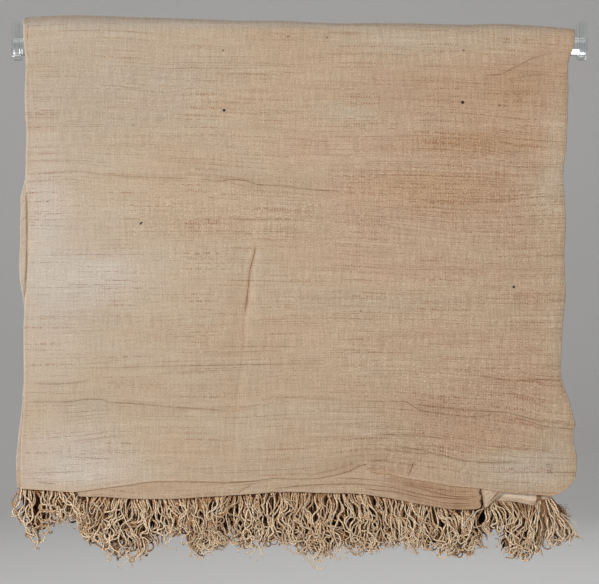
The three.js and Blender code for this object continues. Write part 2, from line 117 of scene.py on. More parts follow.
# Lines on the outer face. kind, how dark, half width, relief (- trough, + ridge), points along it.
FACE_LINES = [
    ("crease", 1.0, 0.85, -0.18, [(256.2, 243), (255, 250), (252, 262), (250, 270), (248.5, 285), (247.2, 296), (245.6, 308), (244.2, 318)]),
    ("crease", 0.16, 1.6, -0.15, [(243.8, 330), (242.8, 344), (240.6, 364), (237, 388), (235, 420), (232, 464)]),
    ("crease", 0.55, 1.0, 0.45, [(479, 75), (490, 74.8), (500, 74), (510, 69.5), (519, 65), (538, 56), (555, 53)]),
    ("crease", 0.35, 0.9, 0.2, [(500, 80), (520, 77), (545, 74), (557, 77)]),
    ("crease", 0.55, 0.9, 0.5, [(352, 400.5), (380, 401.5), (405, 401.5), (411, 405), (420, 410), (430, 412), (445, 414), (475, 417), (490, 415), (497, 413.5)]),
    ("crease", 0.55, 0.9, 0.4, [(409, 401.5), (415, 404), (450, 408), (480, 411), (505, 412.5), (520, 416), (535, 420), (548, 424)]),
    ("crease", 0.30, 0.9, 0.2, [(262, 397), (300, 398), (352, 400.3)]),
    ("crease", 0.55, 0.9, 0.45, [(468, 373), (475, 375), (485, 377), (500, 379), (513, 381), (530, 380), (560, 379)]),
    ("crease", 0.32, 0.9, 0.25, [(496, 366), (520, 364), (540, 365), (561, 366)]),
    ("crease", 0.60, 0.9, 0.4, [(366, 434.6), (380, 434.5), (412, 435), (430, 437), (455, 440)]),
    ("crease", 0.28, 0.9, 0.2, [(300, 438), (338, 437), (368, 435)]),
    ("crease", 0.62, 0.9, 0.45, [(388, 444.5), (395, 446), (420, 450), (435, 454), (450, 457), (465, 461), (480, 462.5), (495, 463), (520, 462)]),
    ("crease", 0.85, 0.8, -0.15, [(414.8, 459), (413.5, 463), (412, 468), (409.5, 474), (408, 478)]),
    ("crease", 0.60, 1.0, 0.5, [(196, 178.5), (205, 179), (215, 181), (235, 179.5), (248, 181), (257, 184.5), (275, 185), (300, 188), (320, 190), (345, 191)]),
    ("crease", 0.30, 1.0, 0.35, [(30, 173.5), (38, 173), (76, 171), (107, 175), (150, 177), (196, 178.5)]),
    ("crease", 0.30, 0.9, 0.2, [(280, 138), (290, 138), (320, 141), (338, 141)]),
    ("crease", 0.42, 0.9, 0.3, [(26, 384.5), (35, 384), (60, 384), (85, 381), (96, 379)]),
    ("crease", 0.55, 0.9, 0.4, [(24, 402), (65, 402), (90, 399), (103, 400), (110, 402.5), (130, 403.5), (170, 407), (230, 411)]),
    ("crease", 0.30, 0.9, 0.25, [(64, 442), (75, 441), (95, 439), (112, 437), (130, 437)]),
    ("crease", 0.45, 0.9, 0.3, [(34, 481), (40, 482.6), (50, 484), (58, 484)]),
    ("crease", 0.36, 0.9, 0.25, [(90, 369), (107, 368), (180, 366), (240, 365), (300, 364), (330, 363.6)]),
    ("crease", 0.26, 0.9, 0.15, [(196, 354), (230, 353), (268, 351), (290, 351)]),
    ("crease", 0.55, 0.9, 0.45, [(367, 459), (371, 461.4), (377, 461), (386, 460), (392, 461)]),
    ("crease", 0.40, 0.8, 0.2, [(300, 483), (314, 474.5), (330, 471), (345, 467), (356, 461.5), (364, 459)]),
    ("crease", 0.35, 0.8, -0.15, [(561, 380), (562.2, 386), (562.5, 392), (564, 398), (566.5, 404)]),
    ("crease", 0.30, 0.8, -0.15, [(570.5, 414), (570, 420), (568.4, 426), (565, 430)]),
    ("crease", 0.05, 1.0, 0.35, [(27, 103), (45, 111), (70, 118), (98, 121)]),
    ("crease", 0.05, 1.0, 0.30, [(27, 113), (48, 121), (80, 128)]),
    ("crease", 0.06, 1.0, 0.40, [(26, 182), (40, 195), (58, 211), (82, 223)]),
    ("crease", 0.05, 1.0, 0.30, [(30, 177), (56, 190), (92, 201)]),
    ("crease", 0.05, 1.0, 0.25, [(28, 300), (50, 296), (84, 294)]),
    ("crease", 0.08, 1.0, 0.25, [(28, 345), (60, 342), (90, 343)]),
    ("dots", 0.55, 0.7, 0, [(104, 88), (130, 89.5), (150, 91.5), (176, 93)]),
    ("dots", 0.35, 0.6, 0, [(134, 78), (150, 78), (176, 79)]),
    ("dots", 0.35, 0.6, 0, [(42, 52), (60, 52), (84, 52.4)]),
    ("dots", 0.50, 0.7, 0, [(164, 135), (200, 135.4), (240, 136.2), (278, 137)]),
    ("dots", 0.45, 0.6, 0, [(219, 153), (245, 154.4), (270, 156)]),
    ("dots", 0.40, 0.6, 0, [(164, 188.6), (190, 189), (220, 189.6)]),
    ("dots", 0.45, 0.6, 0, [(274, 200), (300, 200), (328, 200.4)]),
    ("dots", 0.55, 0.7, 0, [(238, 209), (262, 209.6), (290, 211), (316, 212)]),
    ("dots", 0.50, 0.7, 0, [(246, 218.6), (275, 219), (306, 219.4)]),
    ("dots", 0.40, 0.6, 0, [(188, 231), (215, 232), (246, 233)]),
    ("dots", 0.55, 0.8, 0, [(424, 138), (450, 138), (480, 138.4)]),
    ("dots", 0.65, 0.9, 0.1, [(478, 150.6), (500, 151), (515, 151.2), (534, 151.6)]),
    ("dots", 0.45, 0.7, 0, [(424, 156), (455, 157), (490, 158)]),
    ("dots", 0.40, 0.7, 0, [(404, 167), (440, 168), (470, 169), (494, 170)]),
    ("dots", 0.42, 0.7, 0, [(394, 184), (430, 184), (466, 184.2)]),
    ("dots", 0.50, 0.8, 0, [(424, 196.4), (460, 196.6), (500, 196), (530, 194.4), (556, 193)]),
    ("dots", 0.38, 0.7, 0, [(424, 203.4), (460, 203), (490, 202), (520, 201)]),
    ("dots", 0.55, 0.8, 0.15, [(315, 220.6), (340, 222), (365, 223.6), (396, 224.8)]),
    ("dots", 0.50, 0.8, 0.1, [(460, 232), (500, 232), (540, 231.2), (568, 231)]),
    ("dots", 0.50, 0.8, 0.15, [(322, 264.6), (345, 265.8), (370, 267.6), (395, 269), (430, 269.6), (478, 270)]),
    ("dots", 0.60, 0.8, 0, [(54, 457), (80, 457.6), (100, 458.6), (118, 459.4)]),
    ("dots", 0.45, 0.7, 0, [(226, 98), (260, 99), (300, 100)]),
    ("dots", 0.35, 0.6, 0, [(60, 121), (90, 121.6), (130, 122.4)]),
    ("dots", 0.35, 0.6, 0, [(330, 62), (370, 62.6), (410, 63.6)]),
    ("dots", 0.40, 0.6, 0, [(350, 110), (390, 111), (430, 112.6)]),
    ("dots", 0.35, 0.6, 0, [(380, 46), (420, 46.6), (450, 47.6)]),
    ("dots", 0.38, 0.7, 0, [(60, 286), (110, 286.6), (150, 287.6)]),
    ("dots", 0.35, 0.7, 0, [(410, 300), (450, 301), (500, 302)]),
    ("dots", 0.38, 0.7, 0, [(290, 318), (330, 318), (370, 318.8)]),
    ("dots", 0.38, 0.7, 0, [(440, 336), (480, 336.8), (540, 337)]),
    ("dots", 0.35, 0.7, 0, [(150, 330), (190, 329.4), (225, 329)]),
    ("dots", 0.38, 0.7, 0, [(150, 427), (185, 427.4), (225, 428)]),
    ("dots", 0.40, 0.7, 0, [(462, 428), (500, 431), (540, 434)]),
    ("dots", 0.35, 0.7, 0, [(430, 474), (455, 478), (470, 480)]),
    ("dots", 0.95, 0.8, 0, [(27.2, 17), (27.0, 28), (26.8, 44)]),
]
BAND_LINES = [
    ("crease", 0.75, 0.8, -0.15, [(235, 494.6), (240, 491.6), (246, 488.2), (254, 483.4)]),
    ("crease", 0.72, 0.8, 0.3, [(270, 490), (276, 489), (300, 486.4), (330, 484.6), (345, 484.4), (387, 487), (430, 496.4), (465, 499.6), (480, 496)]),
    ("crease", 0.30, 0.8, 0.15, [(225, 487), (245, 484.6), (262, 483.8)]),
    ("crease", 0.60, 0.8, 0.25, [(330, 478.6), (345, 478.6), (386, 481.2), (432, 488.6), (460, 492), (478, 491.5)]),
    ("crease", 0.65, 0.8, 0.3, [(360, 489.4), (390, 491.6), (425, 499), (450, 503.6), (470, 504), (479, 501)]),
    ("crease", 0.80, 0.9, 0.35, [(488.6, 505.6), (491.5, 500.8), (495, 496.4), (500, 490)]),
    ("crease", 1.60, 0.9, -0.15, [(482.6, 484.6), (480.6, 491), (480.8, 494), (482.8, 497), (482.2, 500), (484.0, 504), (484.4, 509)]),
    ("crease", 0.62, 0.9, 0.25, [(392, 484.6), (410, 486.4), (432, 492), (452, 496.4), (466, 497.6), (478, 495.6)]),
    ("crease", 0.50, 0.8, 0.2, [(400, 496.4), (420, 501), (440, 505), (462, 506.8), (476, 505.4)]),
    ("crease", 0.40, 0.8, 0.2, [(372, 476.6), (400, 481), (430, 486.2), (445, 489)]),
    ("dots", 0.4, 0.6, 0, [(100, 492.5), (130, 492.6), (160, 491.6), (200, 490.4)]),
    ("dots", 0.4, 0.6, 0, [(400, 491), (425, 496), (450, 500.4)]),
]
# Small marks: x, y, radius, how dark
SPOTS = [
    (223, 50, 0.9, 0.6), (224, 110, 1.3, 0.9), (288, 36, 0.9, 0.6), (327, 37, 0.9, 0.55), (464, 50, 0.9, 0.55),
    (463, 102, 1.4, 0.95), (500, 105, 0.9, 0.5), (514, 287, 1.2, 0.85), (361, 311, 0.9, 0.5), (133, 125, 0.9, 0.45),
    (141, 223, 1.0, 0.65), (140.2, 224, 0.8, 0.6), (142.2, 222.2, 0.7, 0.5), (304, 29, 0.7, 0.4), (35, 108, 0.7, 0.25),
    (547.0, 464.6, 0.8, 0.36), (549.4, 464.8, 0.8, 0.42), (551.8, 465.4, 0.8, 0.34), (547.4, 467.2, 0.8, 0.42), (550.2, 467.6, 0.8, 0.36),
    (552.4, 468.6, 0.8, 0.40), (548.2, 470.2, 0.8, 0.34), (550.8, 470.8, 0.8, 0.42), (548.6, 473.0, 0.8, 0.32), (552.0, 473.2, 0.8, 0.36),
]
# Painted shade: the dark gap beside the band's torn end, painted nearly black on the sheet: x, y, radius
TEAR = [
    (481.6, 488.4, 0.7), (481.2, 489.8, 0.7), (480.5, 491.4, 0.8), (479.9, 493.2, 0.8), (480.6, 494.8, 0.8), (481.8, 496.2, 0.9),
    (482.2, 498.0, 1.1), (481.8, 499.8, 1.2), (480.8, 501.4, 1.1), (482.4, 502.6, 1.4), (481.8, 504.6, 1.3), (483.6, 506.2, 1.5),
]
# Soft patches: x, y, half width, half height, lighter or darker, warmer or cooler
PATCHES = [
    (45, 215, 26, 55, 0.055, -0.5), (105, 275, 75, 26, 0.065, -0.55), (40, 300, 40, 150, 0.03, -0.1),
    (75, 455, 60, 28, 0.055, -0.55), (75, 478, 60, 10, 0.05, -0.45), (60, 350, 60, 40, 0.02, 0.0),
    (95, 165, 80, 12, 0.015, 0.0), (60, 210, 60, 12, 0.02, 0.0),
    (470, 143, 66, 14, -0.11, 0.85), (515, 85, 45, 28, -0.06, 0.35), (440, 92, 110, 26, -0.04, 0.25),
    (448, 198, 75, 24, -0.045, 0.35), (415, 185, 60, 14, -0.02, 0.2), (540, 160, 20, 40, -0.01, 0.2),
    (300, 181, 190, 7, -0.02, 0.05), (120, 179, 110, 6, -0.035, 0.0), (470, 178, 110, 8, -0.015, 0.1),
    (330, 80, 80, 40, -0.02, 0.0), (280, 40, 60, 18, -0.02, 0.25), (555, 50, 30, 20, 0.0, 0.35),
    (530, 390, 45, 22, -0.055, 0.35), (430, 408, 70, 14, -0.04, 0.1), (460, 430, 60, 24, -0.045, 0.3),
    (370, 470, 40, 10, -0.07, 0.3), (280, 468, 110, 10, -0.015, 0.0), (190, 380, 110, 22, -0.02, 0.0),
    (520, 468, 38, 20, 0.02, -0.75), (550, 188, 26, 34, 0.05, -0.6), (556, 130, 14, 40, 0.035, -0.35),
    (560, 330, 16, 60, -0.035, -0.35), (555, 450, 18, 30, -0.01, -0.45), (505, 270, 70, 8, -0.03, 0.2),
    (355, 112, 35, 14, 0.01, -0.35), (320, 110, 40, 20, 0.012, 0.0), (519, 100, 3.2, 11, -0.05, 0.3),
    # The next four patches, at x 228 to 256, are painted shade on the left side of the upright fold and painted light
    # on its right side.
    (234, 290, 8, 60, -0.03, 0.1), (256, 290, 6, 66, 0.04, -0.05), (228, 400, 9, 60, -0.02, 0.1),
    (250, 400, 9, 60, 0.03, 0.0), (300, 38, 260, 16, -0.03, -0.15), (300, 300, 90, 30, 0.01, 0.0),
    # The second patch on the next line, at (95, 75), darkens the upper left where the key lamp falls brightest: painted
    # shade.
    (480, 36, 120, 16, -0.01, -0.5), (95, 75, 120, 62, -0.11, -0.42), (60, 250, 60, 120, -0.03, -0.30), (280, 300, 300, 260, 0.0, -0.12), (60, 320, 60, 90, -0.01, -0.15), (330, 210, 150, 60, 0.0, 0.15),
]

# Where it is crinkled, and where dark dots show between the threads: x, y, half width, half height, amount
CRINKLED = [
    (45, 205, 45, 45, 1.0), (50, 112, 45, 20, 0.7), (80, 455, 80, 32, 1.0), (75, 290, 70, 60, 0.55), (530, 440, 60, 50, 0.7),
    (250, 330, 40, 120, 0.35), (556, 250, 22, 160, 0.6), (350, 455, 60, 20, 0.6), (300, 190, 220, 14, 0.4), (60, 395, 60, 25, 0.7),
]
DOTTED = [
    (470, 145, 90, 50, 1.0), (300, 214, 150, 26, 0.9), (480, 405, 100, 50, 1.0), (210, 105, 160, 45, 0.7), (480, 255, 110, 60, 0.8),
    (95, 448, 70, 30, 0.45), (460, 190, 110, 30, 0.9), (200, 230, 90, 40, 0.5), (420, 330, 140, 40, 0.6), (420, 455, 90, 30, 0.9),
]


def curve(rows, column=1):
    """A smooth line through a table's rows that never overshoots them."""
    xs = np.array([r[0] for r in rows], float)
    ys = np.array([r[column] for r in rows], float)
    h = np.diff(xs)
    d = np.diff(ys) / h
    m = np.zeros(len(xs))
    m[0], m[-1] = d[0], d[-1]
    for i in range(1, len(xs) - 1):
        if d[i - 1] * d[i] > 0:
            w1, w2 = 2 * h[i] + h[i - 1], h[i] + 2 * h[i - 1]
            m[i] = (w1 + w2) / (w1 / d[i - 1] + w2 / d[i])

    def f(v):
        v = np.clip(np.asarray(v, float), xs[0], xs[-1])
        k = np.clip(np.searchsorted(xs, v, side="right") - 1, 0, len(xs) - 2)
        t = (v - xs[k]) / h[k]
        t2, t3 = t * t, t * t * t
        return (2 * t3 - 3 * t2 + 1) * ys[k] + (t3 - 2 * t2 + t) * h[k] * m[k] + (3 * t2 - 2 * t3) * ys[k + 1] + (t3 - t2) * h[k] * m[k + 1]

    return f


def smooth(t):
    t = np.clip(t, 0, 1)
    return t * t * (3 - 2 * t)


def lerp(a, b, t):
    return a + (b - a) * t


def lattice(seed):
    return np.random.default_rng(seed).uniform(-1, 1, (257, 257))


LATTICES = {}


def noise(u, v, seed):
    """Smooth noise from -1 to 1 on a seeded lattice, one step for each unit."""
    g = LATTICES.setdefault(seed, lattice(SEED + seed))
    u, v = np.broadcast_arrays(np.asarray(u, float), np.asarray(v, float))
    iu, iv = np.floor(u).astype(int), np.floor(v).astype(int)
    fu, fv = u - iu, v - iv
    fu, fv = fu * fu * fu * (fu * (fu * 6 - 15) + 10), fv * fv * fv * (fv * (fv * 6 - 15) + 10)
    a, b = g[iu % 256, iv % 256], g[(iu + 1) % 256, iv % 256]
    c, d = g[iu % 256, (iv + 1) % 256], g[(iu + 1) % 256, (iv + 1) % 256]
    return (a * (1 - fu) + b * fu) * (1 - fv) + (c * (1 - fu) + d * fu) * fv


top_at, rim_at, band_at, end_at = curve(TOP_ROWS), curve(RIM_ROWS), curve(BAND_ROWS), curve(END_ROWS)
turn_at, plain_at = curve(BACK_TURN), curve(BACK_PLAIN)
FIRST_X, LAST_X, EDGE_REACH = 20.0, 577.0, 70.0


class Edge:
    def __init__(self, rows, seed, ripple):
        self.left, self.right, self.seed, self.ripple = curve(rows, 1), curve(rows, 2), seed, ripple

    def across(self, x, y):
        to_left, to_right = 1 - smooth((x - FIRST_X) / EDGE_REACH), 1 - smooth((LAST_X - x) / EDGE_REACH)
        close_left, close_right = np.exp(-np.clip(x - FIRST_X, 0, None) / 9), np.exp(-np.clip(LAST_X - x, 0, None) / 9)
        wave_left = self.ripple * (0.6 * noise(y / 13.0, 0.5, self.seed) + 0.4 * noise(y / 5.2, 3.5, self.seed))
        wave_right = self.ripple * (0.6 * noise(y / 12.0, 9.5, self.seed) + 0.4 * noise(y / 4.7, 13.5, self.seed))
        return (x + (self.left(y) - FIRST_X) * to_left + (self.right(y) - LAST_X) * to_right
                + wave_left * close_left + wave_right * close_right)


OUTER, UNDER = Edge(OUTER_EDGE, 11, 0.7), Edge(UNDER_EDGE, 12, 0.8)
INNER, BACK = Edge(INNER_EDGE, 13, 0.8), Edge(BACK_EDGE, 14, 1.2)


def swell(x, y):
    wave = 0.5 + 0.26 * np.sin(x / 61 + 0.6) + 0.24 * np.sin(x / 143 - y / 118 + 1.1)
    return wave * smooth((y - 60) / 150) * (1 - 0.35 * smooth((y - 380) / 80))


GRAIN_LINES = [(name, curve(points)) for name, points in GRAIN]


def weft(x, y):
    """The name of the weft thread at a place on the outer face, as smooth as the table of grain lines."""
    x, y = np.broadcast_arrays(np.asarray(x, float), np.asarray(y, float))
    lines = np.stack([f(x) for _, f in GRAIN_LINES])
    names = np.array([n for n, _ in GRAIN_LINES], float)
    out = np.where(y < lines[0], names[0] + (y - lines[0]), names[-1] + (y - lines[-1]))
    for k in range(len(names) - 1):
        a, b = lines[k], lines[k + 1]
        t = (y - a) / (b - a)
        out = np.where((t >= 0) & (t <= 1), names[k] + (names[k + 1] - names[k]) * t, out)
    return out


class Line:
    def __init__(self, kind, dark, width, relief, points):
        p = np.array(points, float)
        self.kind, self.dark, self.width, self.relief, self.upright = kind, dark, width, relief, np.ptp(p[:, 1]) > np.ptp(p[:, 0])
        a = 1 if self.upright else 0
        p = p[np.argsort(p[:, a])]
        self.low, self.high = p[0, a], p[-1, a]
        self.f = curve([(r[a], r[1 - a]) for r in p])
        self.fade = min(16.0, (self.high - self.low) * 0.3)

    def measure(self, x, y):
        """Signed distance in mm and strength along the line, at each place."""
        along, other = (y, x) if self.upright else (x, y)
        off = other - self.f(along)
        strength = smooth((along - self.low) / self.fade) * smooth((self.high - along) / self.fade)
        return off, strength


face_lines = [Line(*row) for row in FACE_LINES]
band_lines = [Line(*row) for row in BAND_LINES]


def relief(x, y, lines, reach=3.2):
    """Height in mm that the creases lift the cloth forward."""
    h = np.zeros(np.broadcast(x, y).shape)
    for line in lines:
        if line.relief:
            off, s = line.measure(x, y)
            if line.relief < 0:
                h += line.relief * s * np.exp(-(off / (line.width * 1.5)) ** 2)
            else:  # a tuck: a rounded ridge just above a sharp drop
                up = -off / reach
                h += line.relief * s * np.where(up > 0, np.exp(-up * up * 1.2), np.exp(-(off / 1.0) ** 2))
    return h


def drape(x, y):
    """Soft unevenness of the outer face in mm, forward positive."""
    v = weft(x, y)
    h = 0.55 * noise(x / 74, v / 38, 21) + 0.30 * noise(x / 40, v / 15, 22) + 0.16 * noise(x / 21, v / 6.5, 23)
    h += 0.07 * noise(x / 12, v / 3.6, 24)
    h += 0.10 * noise(x / 6.5, v / 30, 25) * smooth((y - 150) / 60)
    # the long upright fold left of the middle: a trough with a soft roll beside it
    line = 250.5 - (y - 244) * 0.088 + 4 * np.exp(-((y - 235) / 30.0) ** 2)
    hold = smooth((y - 215) / 50) * smooth((485 - y) / 30)
    h += hold * (0.75 * np.exp(-((x - line - 8) / 7.0) ** 2) - 0.45 * np.exp(-((x - line + 5) / 6.0) ** 2))
    return h


def amount(rows_, x, y):
    total = np.zeros(np.broadcast(x, y).shape)
    for cx, cy, rx, ry, a in rows_:
        total += a * np.exp(-(((x - cx) / rx) ** 2 + ((y - cy) / ry) ** 2))
    return np.clip(total, 0, 1.2)


def crinkle(x, y):
    """Small sharp puckers in mm, where the cloth is crinkled."""
    v = weft(x, y)
    a = 1 - np.abs(noise(x / 13 + 0.35 * v / 13, v / 5.2, 26)) * 2
    b = 1 - np.abs(noise(x / 8 - 0.5 * v / 8, v / 4.4, 27)) * 2
    return amount(CRINKLED, x, y) * (0.17 * a + 0.12 * b)


def edge_roll(x, y, edge):
    left, right = edge.left(y), edge.right(y)
    d = np.minimum(x - left, right - x)
    return d, -0.9 * np.exp(-np.clip(d, 0, None) / 1.8)


# ---------------------------------------------------------------- the sheet's sections
def stations():
    xs = [FIRST_X]
    while xs[-1] < LAST_X - 1e-6:
        x = xs[-1]
        step = 2.25
        if x < 30 or x > 570:
            step = 1.2
        if 75 < x < 81 or 362 < x < 370:
            step = 0.9
        if 476 < x < 509 or 533 < x < 545:
            step = 0.85
        xs.append(x + step)
    xs = np.array(xs)
    n = len(xs) - 1
    n8 = int(math.ceil(n / 8) * 8)
    t = np.interp(np.linspace(0, n, n8 + 1), np.arange(n + 1), xs)
    return FIRST_X + (t - FIRST_X) * (LAST_X - FIRST_X) / (t[-1] - FIRST_X)


X0 = stations()
NI = len(X0) - 1
rows = []   # segment, x, depth, down, weft name or None


def put(segment, edge, depth, down):
    down = np.broadcast_to(np.asarray(down, float), X0.shape)
    depth = np.broadcast_to(np.asarray(depth, float), X0.shape)
    rows.append([segment, edge.across(X0, down), depth.copy(), down.copy()])


x_in, x_under = INNER.across(X0, 490.0), UNDER.across(X0, 490.0)
x_out, x_back = OUTER.across(X0, 480.0), BACK.across(X0, 460.0)
end, band, rim = end_at(x_in), band_at(x_under), rim_at(x_out)
back_turn, plain = turn_at(x_back), plain_at(x_back)
puff = np.maximum(0, LZ - top_at(x_out) - 0.5 - OUT_R)


def over(segment, edge, r, share, forward, steps, skip_first=True, skip_last=True):
    for i in range(steps + 1):
        if (i == 0 and skip_first) or (i == steps and skip_last):
            continue
        a = math.pi * (i if forward else steps - i) / steps
        put(segment, edge, -r * math.cos(a), LZ - (r + puff * share) * math.sin(a))


def fall(segment, edge, start, stop, steps, side, r, swells, first=True, last=True):
    for i in range(steps + 1):
        if (i == 0 and not first) or (i == steps and not last):
            continue
        down = lerp(start, stop, i / steps)
        put(segment, edge, side * (r + BILLOW * swells * swell(X0, np.broadcast_to(down, X0.shape))), down)


def turn(segment, edge, from_y, to_y, down, sign, steps):
    r, mid = abs(to_y - from_y) / 2, (from_y + to_y) / 2
    d = math.copysign(1, from_y - mid)
    for i in range(steps + 1):
        a = math.pi * i / steps
        put(segment, edge, mid + d * r * math.cos(a), down - sign * r + sign * r * math.sin(a))


marks = {}


def mark(name):
    marks[name] = len(rows)


mark("inner")
for above in (0.0, 0.9, 1.8, 2.7, 4.2, 6.5, 10.0):
    put("inner", INNER, -IN_R, end - above)
fall("inner", INNER, end - 10, LZ, 22, -1, IN_R, 0.2, first=False)
over("inner_top", INNER, IN_R, 0.35, True, 8)
fall("inner_back", BACK, LZ, back_turn - 2, 16, 1, IN_R, 0.2)
turn("back_turn", BACK, IN_R, MID_R, back_turn, 1, 4)
fall("mid_back", BACK, back_turn - 2, LZ, 16, 1, MID_R, 0.5)
over("mid_top", UNDER, MID_R, 0.68, False, 8)
mark("mid")
tuck_top = np.minimum(rim, band) - TUCK
for i in range(33):
    down = lerp(LZ, band - 0.7, i / 32)
    put("mid", UNDER, -(MID_R + BILLOW * 0.5 * swell(X0, down) * (1 - smooth((down - tuck_top + 75) / 60))), down)
mark("band")
turn("band_turn", UNDER, -MID_R, -TUCK_R, band, 1, 5)
BAND_STEPS = 28
for i in range(1, BAND_STEPS):
    put("band", UNDER, -TUCK_R, lerp(band - 0.5, tuck_top + 0.45, i / BAND_STEPS))
mark("tuck")
turn("tuck_turn", UNDER, -TUCK_R, -RETURN_R, tuck_top, -1, 3)
for i in range(1, 6):
    put("tuck_down", OUTER, -RETURN_R, lerp(tuck_top + 0.45, rim - 0.45, i / 6))
mark("rim")
turn("rim", OUTER, -RETURN_R, -FACE_R, rim, 1, 5)
mark("face")
FACE_STEPS = 172
eased = tuck_top - 4
face_start = rows[-1][3]
for i in range(1, FACE_STEPS + 1):
    t = i / FACE_STEPS
    down = lerp(face_start, LZ, t)
    free = smooth((eased - down) / TUCK_EASE)
    put("face", OUTER, -lerp(FACE_R, OUT_R + BILLOW * swell(X0, down), free), down)
mark("top")
over("top", OUTER, OUT_R, 1.0, True, 20)
mark("back")
fall("back", BACK, LZ, plain, 54, 1, OUT_R, 1.0)
mark("stop")

NJ = len(rows) - 1
assert NJ == marks["stop"] - 1
segment_of = [r[0] for r in rows]
X = np.stack([r[1] for r in rows], 1)          # stations along axis 0, rows along axis 1
D = np.stack([r[2] for r in rows], 1)
Y = np.stack([r[3] for r in rows], 1)

# Relief goes on after the rows are laid, so that every layer keeps clear of the next.
face = slice(marks["rim"] + 3, marks["back"])
in_face = np.zeros(X.shape, bool)
in_face[:, face] = True
shape_weight = np.zeros(X.shape)
shape_weight[:, face] = 1.0
down_rim = rim[:, None] - Y
top_fade = smooth((Y - 26) / 40)
lift = (drape(X, Y) + crinkle(X, Y)) * smooth(down_rim / 14) * (0.25 + 0.75 * top_fade) + relief(X, Y, face_lines) * (0.3 + 0.7 * smooth(down_rim / 6))
d_out, roll = edge_roll(X, Y, OUTER)
least = -0.10 - 0.7 * smooth((tuck_top[:, None] - 2 - Y) / 24)
lift = np.maximum(lift, least) + roll * smooth(down_rim / 3.0)
# the pinch where the rim jumps up, and the fold that leaves it
lift += 0.9 * np.exp(-(((X - 370) / 5.0) ** 2 + ((Y - 467.5) / 3.6) ** 2))
lift += 0.5 * np.exp(-(((X - 356) / 10.0) ** 2 + ((Y - 461) / 4.0) ** 2))
front_part = in_face & (D < 0)
D = np.where(front_part, D - lift * shape_weight * smooth(-D / 10.0), D)
band_rows = slice(marks["band"], marks["tuck"])
in_band = np.zeros(X.shape, bool)
in_band[:, band_rows] = True
band_lift = relief(X, Y, band_lines, 2.2) + 0.18 * noise(X / 30, (Y - band[:, None]) / 4.5, 31)
D = np.where(in_band & (D < -MID_R - 0.5), D - np.clip(band_lift, -0.15, 0.24) * smooth((band[:, None] - Y) / 2.5), D)
back_part = np.zeros(X.shape, bool)
back_part[:, marks["back"]:] = True
back_lift = (0.9 * noise(X / 60, Y / 90, 41) + 0.45 * noise(X / 26, Y / 40, 42) + 0.18 * noise(X / 14, Y / 9, 43)) * smooth((Y - 55) / 60) + 0.35
D = np.where(back_part, D + np.clip(back_lift, -0.3, 2.2), D)

P = np.stack([X + LX, D, LZ - Y], 2) / 1000.0
di = np.gradient(P, axis=0)
dj = np.gradient(P, axis=1)
normal = np.cross(di, dj)
normal /= np.maximum(np.linalg.norm(normal, axis=2, keepdims=True), 1e-12)
step_length = np.linalg.norm(np.diff(P, axis=1), axis=2)
arc = np.concatenate([np.zeros((NI + 1, 1)), np.cumsum(step_length, axis=1)], axis=1) * 1000

# Pattern coordinates: across the cloth, and along it by the name of the weft thread.
V = arc + 2000.0
j_face, j_top = marks["face"], marks["top"]
V[:, marks["rim"]:j_top] = weft(X[:, marks["rim"]:j_top], Y[:, marks["rim"]:j_top])
V[:, j_top:] = V[:, j_top - 1][:, None] - (arc[:, j_top:] - arc[:, j_top - 1][:, None])
V[:, marks["band"]:marks["tuck"]] = 1000 + (Y - band[:, None])[:, marks["band"]:marks["tuck"]]


# ---------------------------------------------------------------- closed mesh with finer and coarser parts
def steps_for(j):
    """(stations, rows) in one face of the outward and the inward side, for the cells after row j."""
    s = segment_of[min(j + 1, NJ)]
    if s == "inner":
        return ((1, 1), (8, 1)) if j < 7 else ((8, 1), (8, 1))
    if s in ("band", "band_turn"):
        return (1, 1), (4, 1)
    if s == "rim":
        return (1, 1), (1, 1)
    if s == "face":
        return (1, 1), (4, 1)
    if s == "top":
        return (1, 1), (4, 1)
    if s == "back":
        return (2, 1), (8, 1)
    if s in ("tuck_turn", "tuck_down"):
        return (2, 1), (4, 1)
    return (8, 1), (8, 1)


# Cells: side, first and last station, first and last row. Long plain runs of the hidden side join several rows.
cells = []
for side in (0, 1):
    j = 0
    while j < NJ:
        si = steps_for(j)[side][0]
        sj = 1
        if side == 1 and segment_of[min(j + 1, NJ)] == "face":
            sj = 4
        if side == 1 and segment_of[min(j + 1, NJ)] == "back":
            sj = 4
        while sj > 1 and (j + sj > NJ or segment_of[j + sj] != segment_of[j + 1]):
            sj -= 1
        fine_edge = 16 if side == 1 and segment_of[min(j + 1, NJ)] == "mid" else 0   # the strip that shows beside the face
        for i in range(0, NI, si):
            for a in range(i, i + si, 1 if i < fine_edge else si):
                cells.append((side, a, a + (1 if i < fine_edge else si), j, j + sj))
        j += sj
cells = np.array(cells)
used = np.zeros((2, NI + 1, NJ + 1), bool)
for a in (1, 2):
    for b in (3, 4):
        used[cells[:, 0], cells[:, a], cells[:, b]] = True
index = np.full(used.shape, -1)
index[used] = np.arange(used.sum())
s_id, i_id, j_id = np.nonzero(used)
# Which way is outward: on the face the outward side looks to -Y.
face_normal = normal[NI // 2, marks["face"] + 60]
outward = -1.0 if face_normal[1] > 0 else 1.0
side_sign = np.where(s_id == 0, outward, -outward)
verts = P[i_id, j_id] + normal[i_id, j_id] * (side_sign * SHEET_T / 2000.0)[:, None]


def between(side, i0, i1, j0, j1):
    """Vertex ids from one corner to the next along a side of a cell, with the extra ones that its neighbour has, last left out."""
    if i0 == i1:
        js = range(j0, j1, 1 if j1 > j0 else -1)
        return [index[side, i0, j] for j in js if used[side, i0, j]]
    is_ = range(i0, i1, 1 if i1 > i0 else -1)
    return [index[side, i, j0] for i in is_ if used[side, i, j0]]


polygons, poly_side = [], []
for side, i0, i1, j0, j1 in cells:
    ring = (between(side, i0, i1, j0, j0) + between(side, i1, i1, j0, j1)
            + between(side, i1, i0, j1, j1) + between(side, i0, i0, j1, j0))
    if (side == 0) == (outward < 0):
        ring = ring[::-1]
    polygons.append(ring)
    poly_side.append(side)
both = used[0] & used[1]


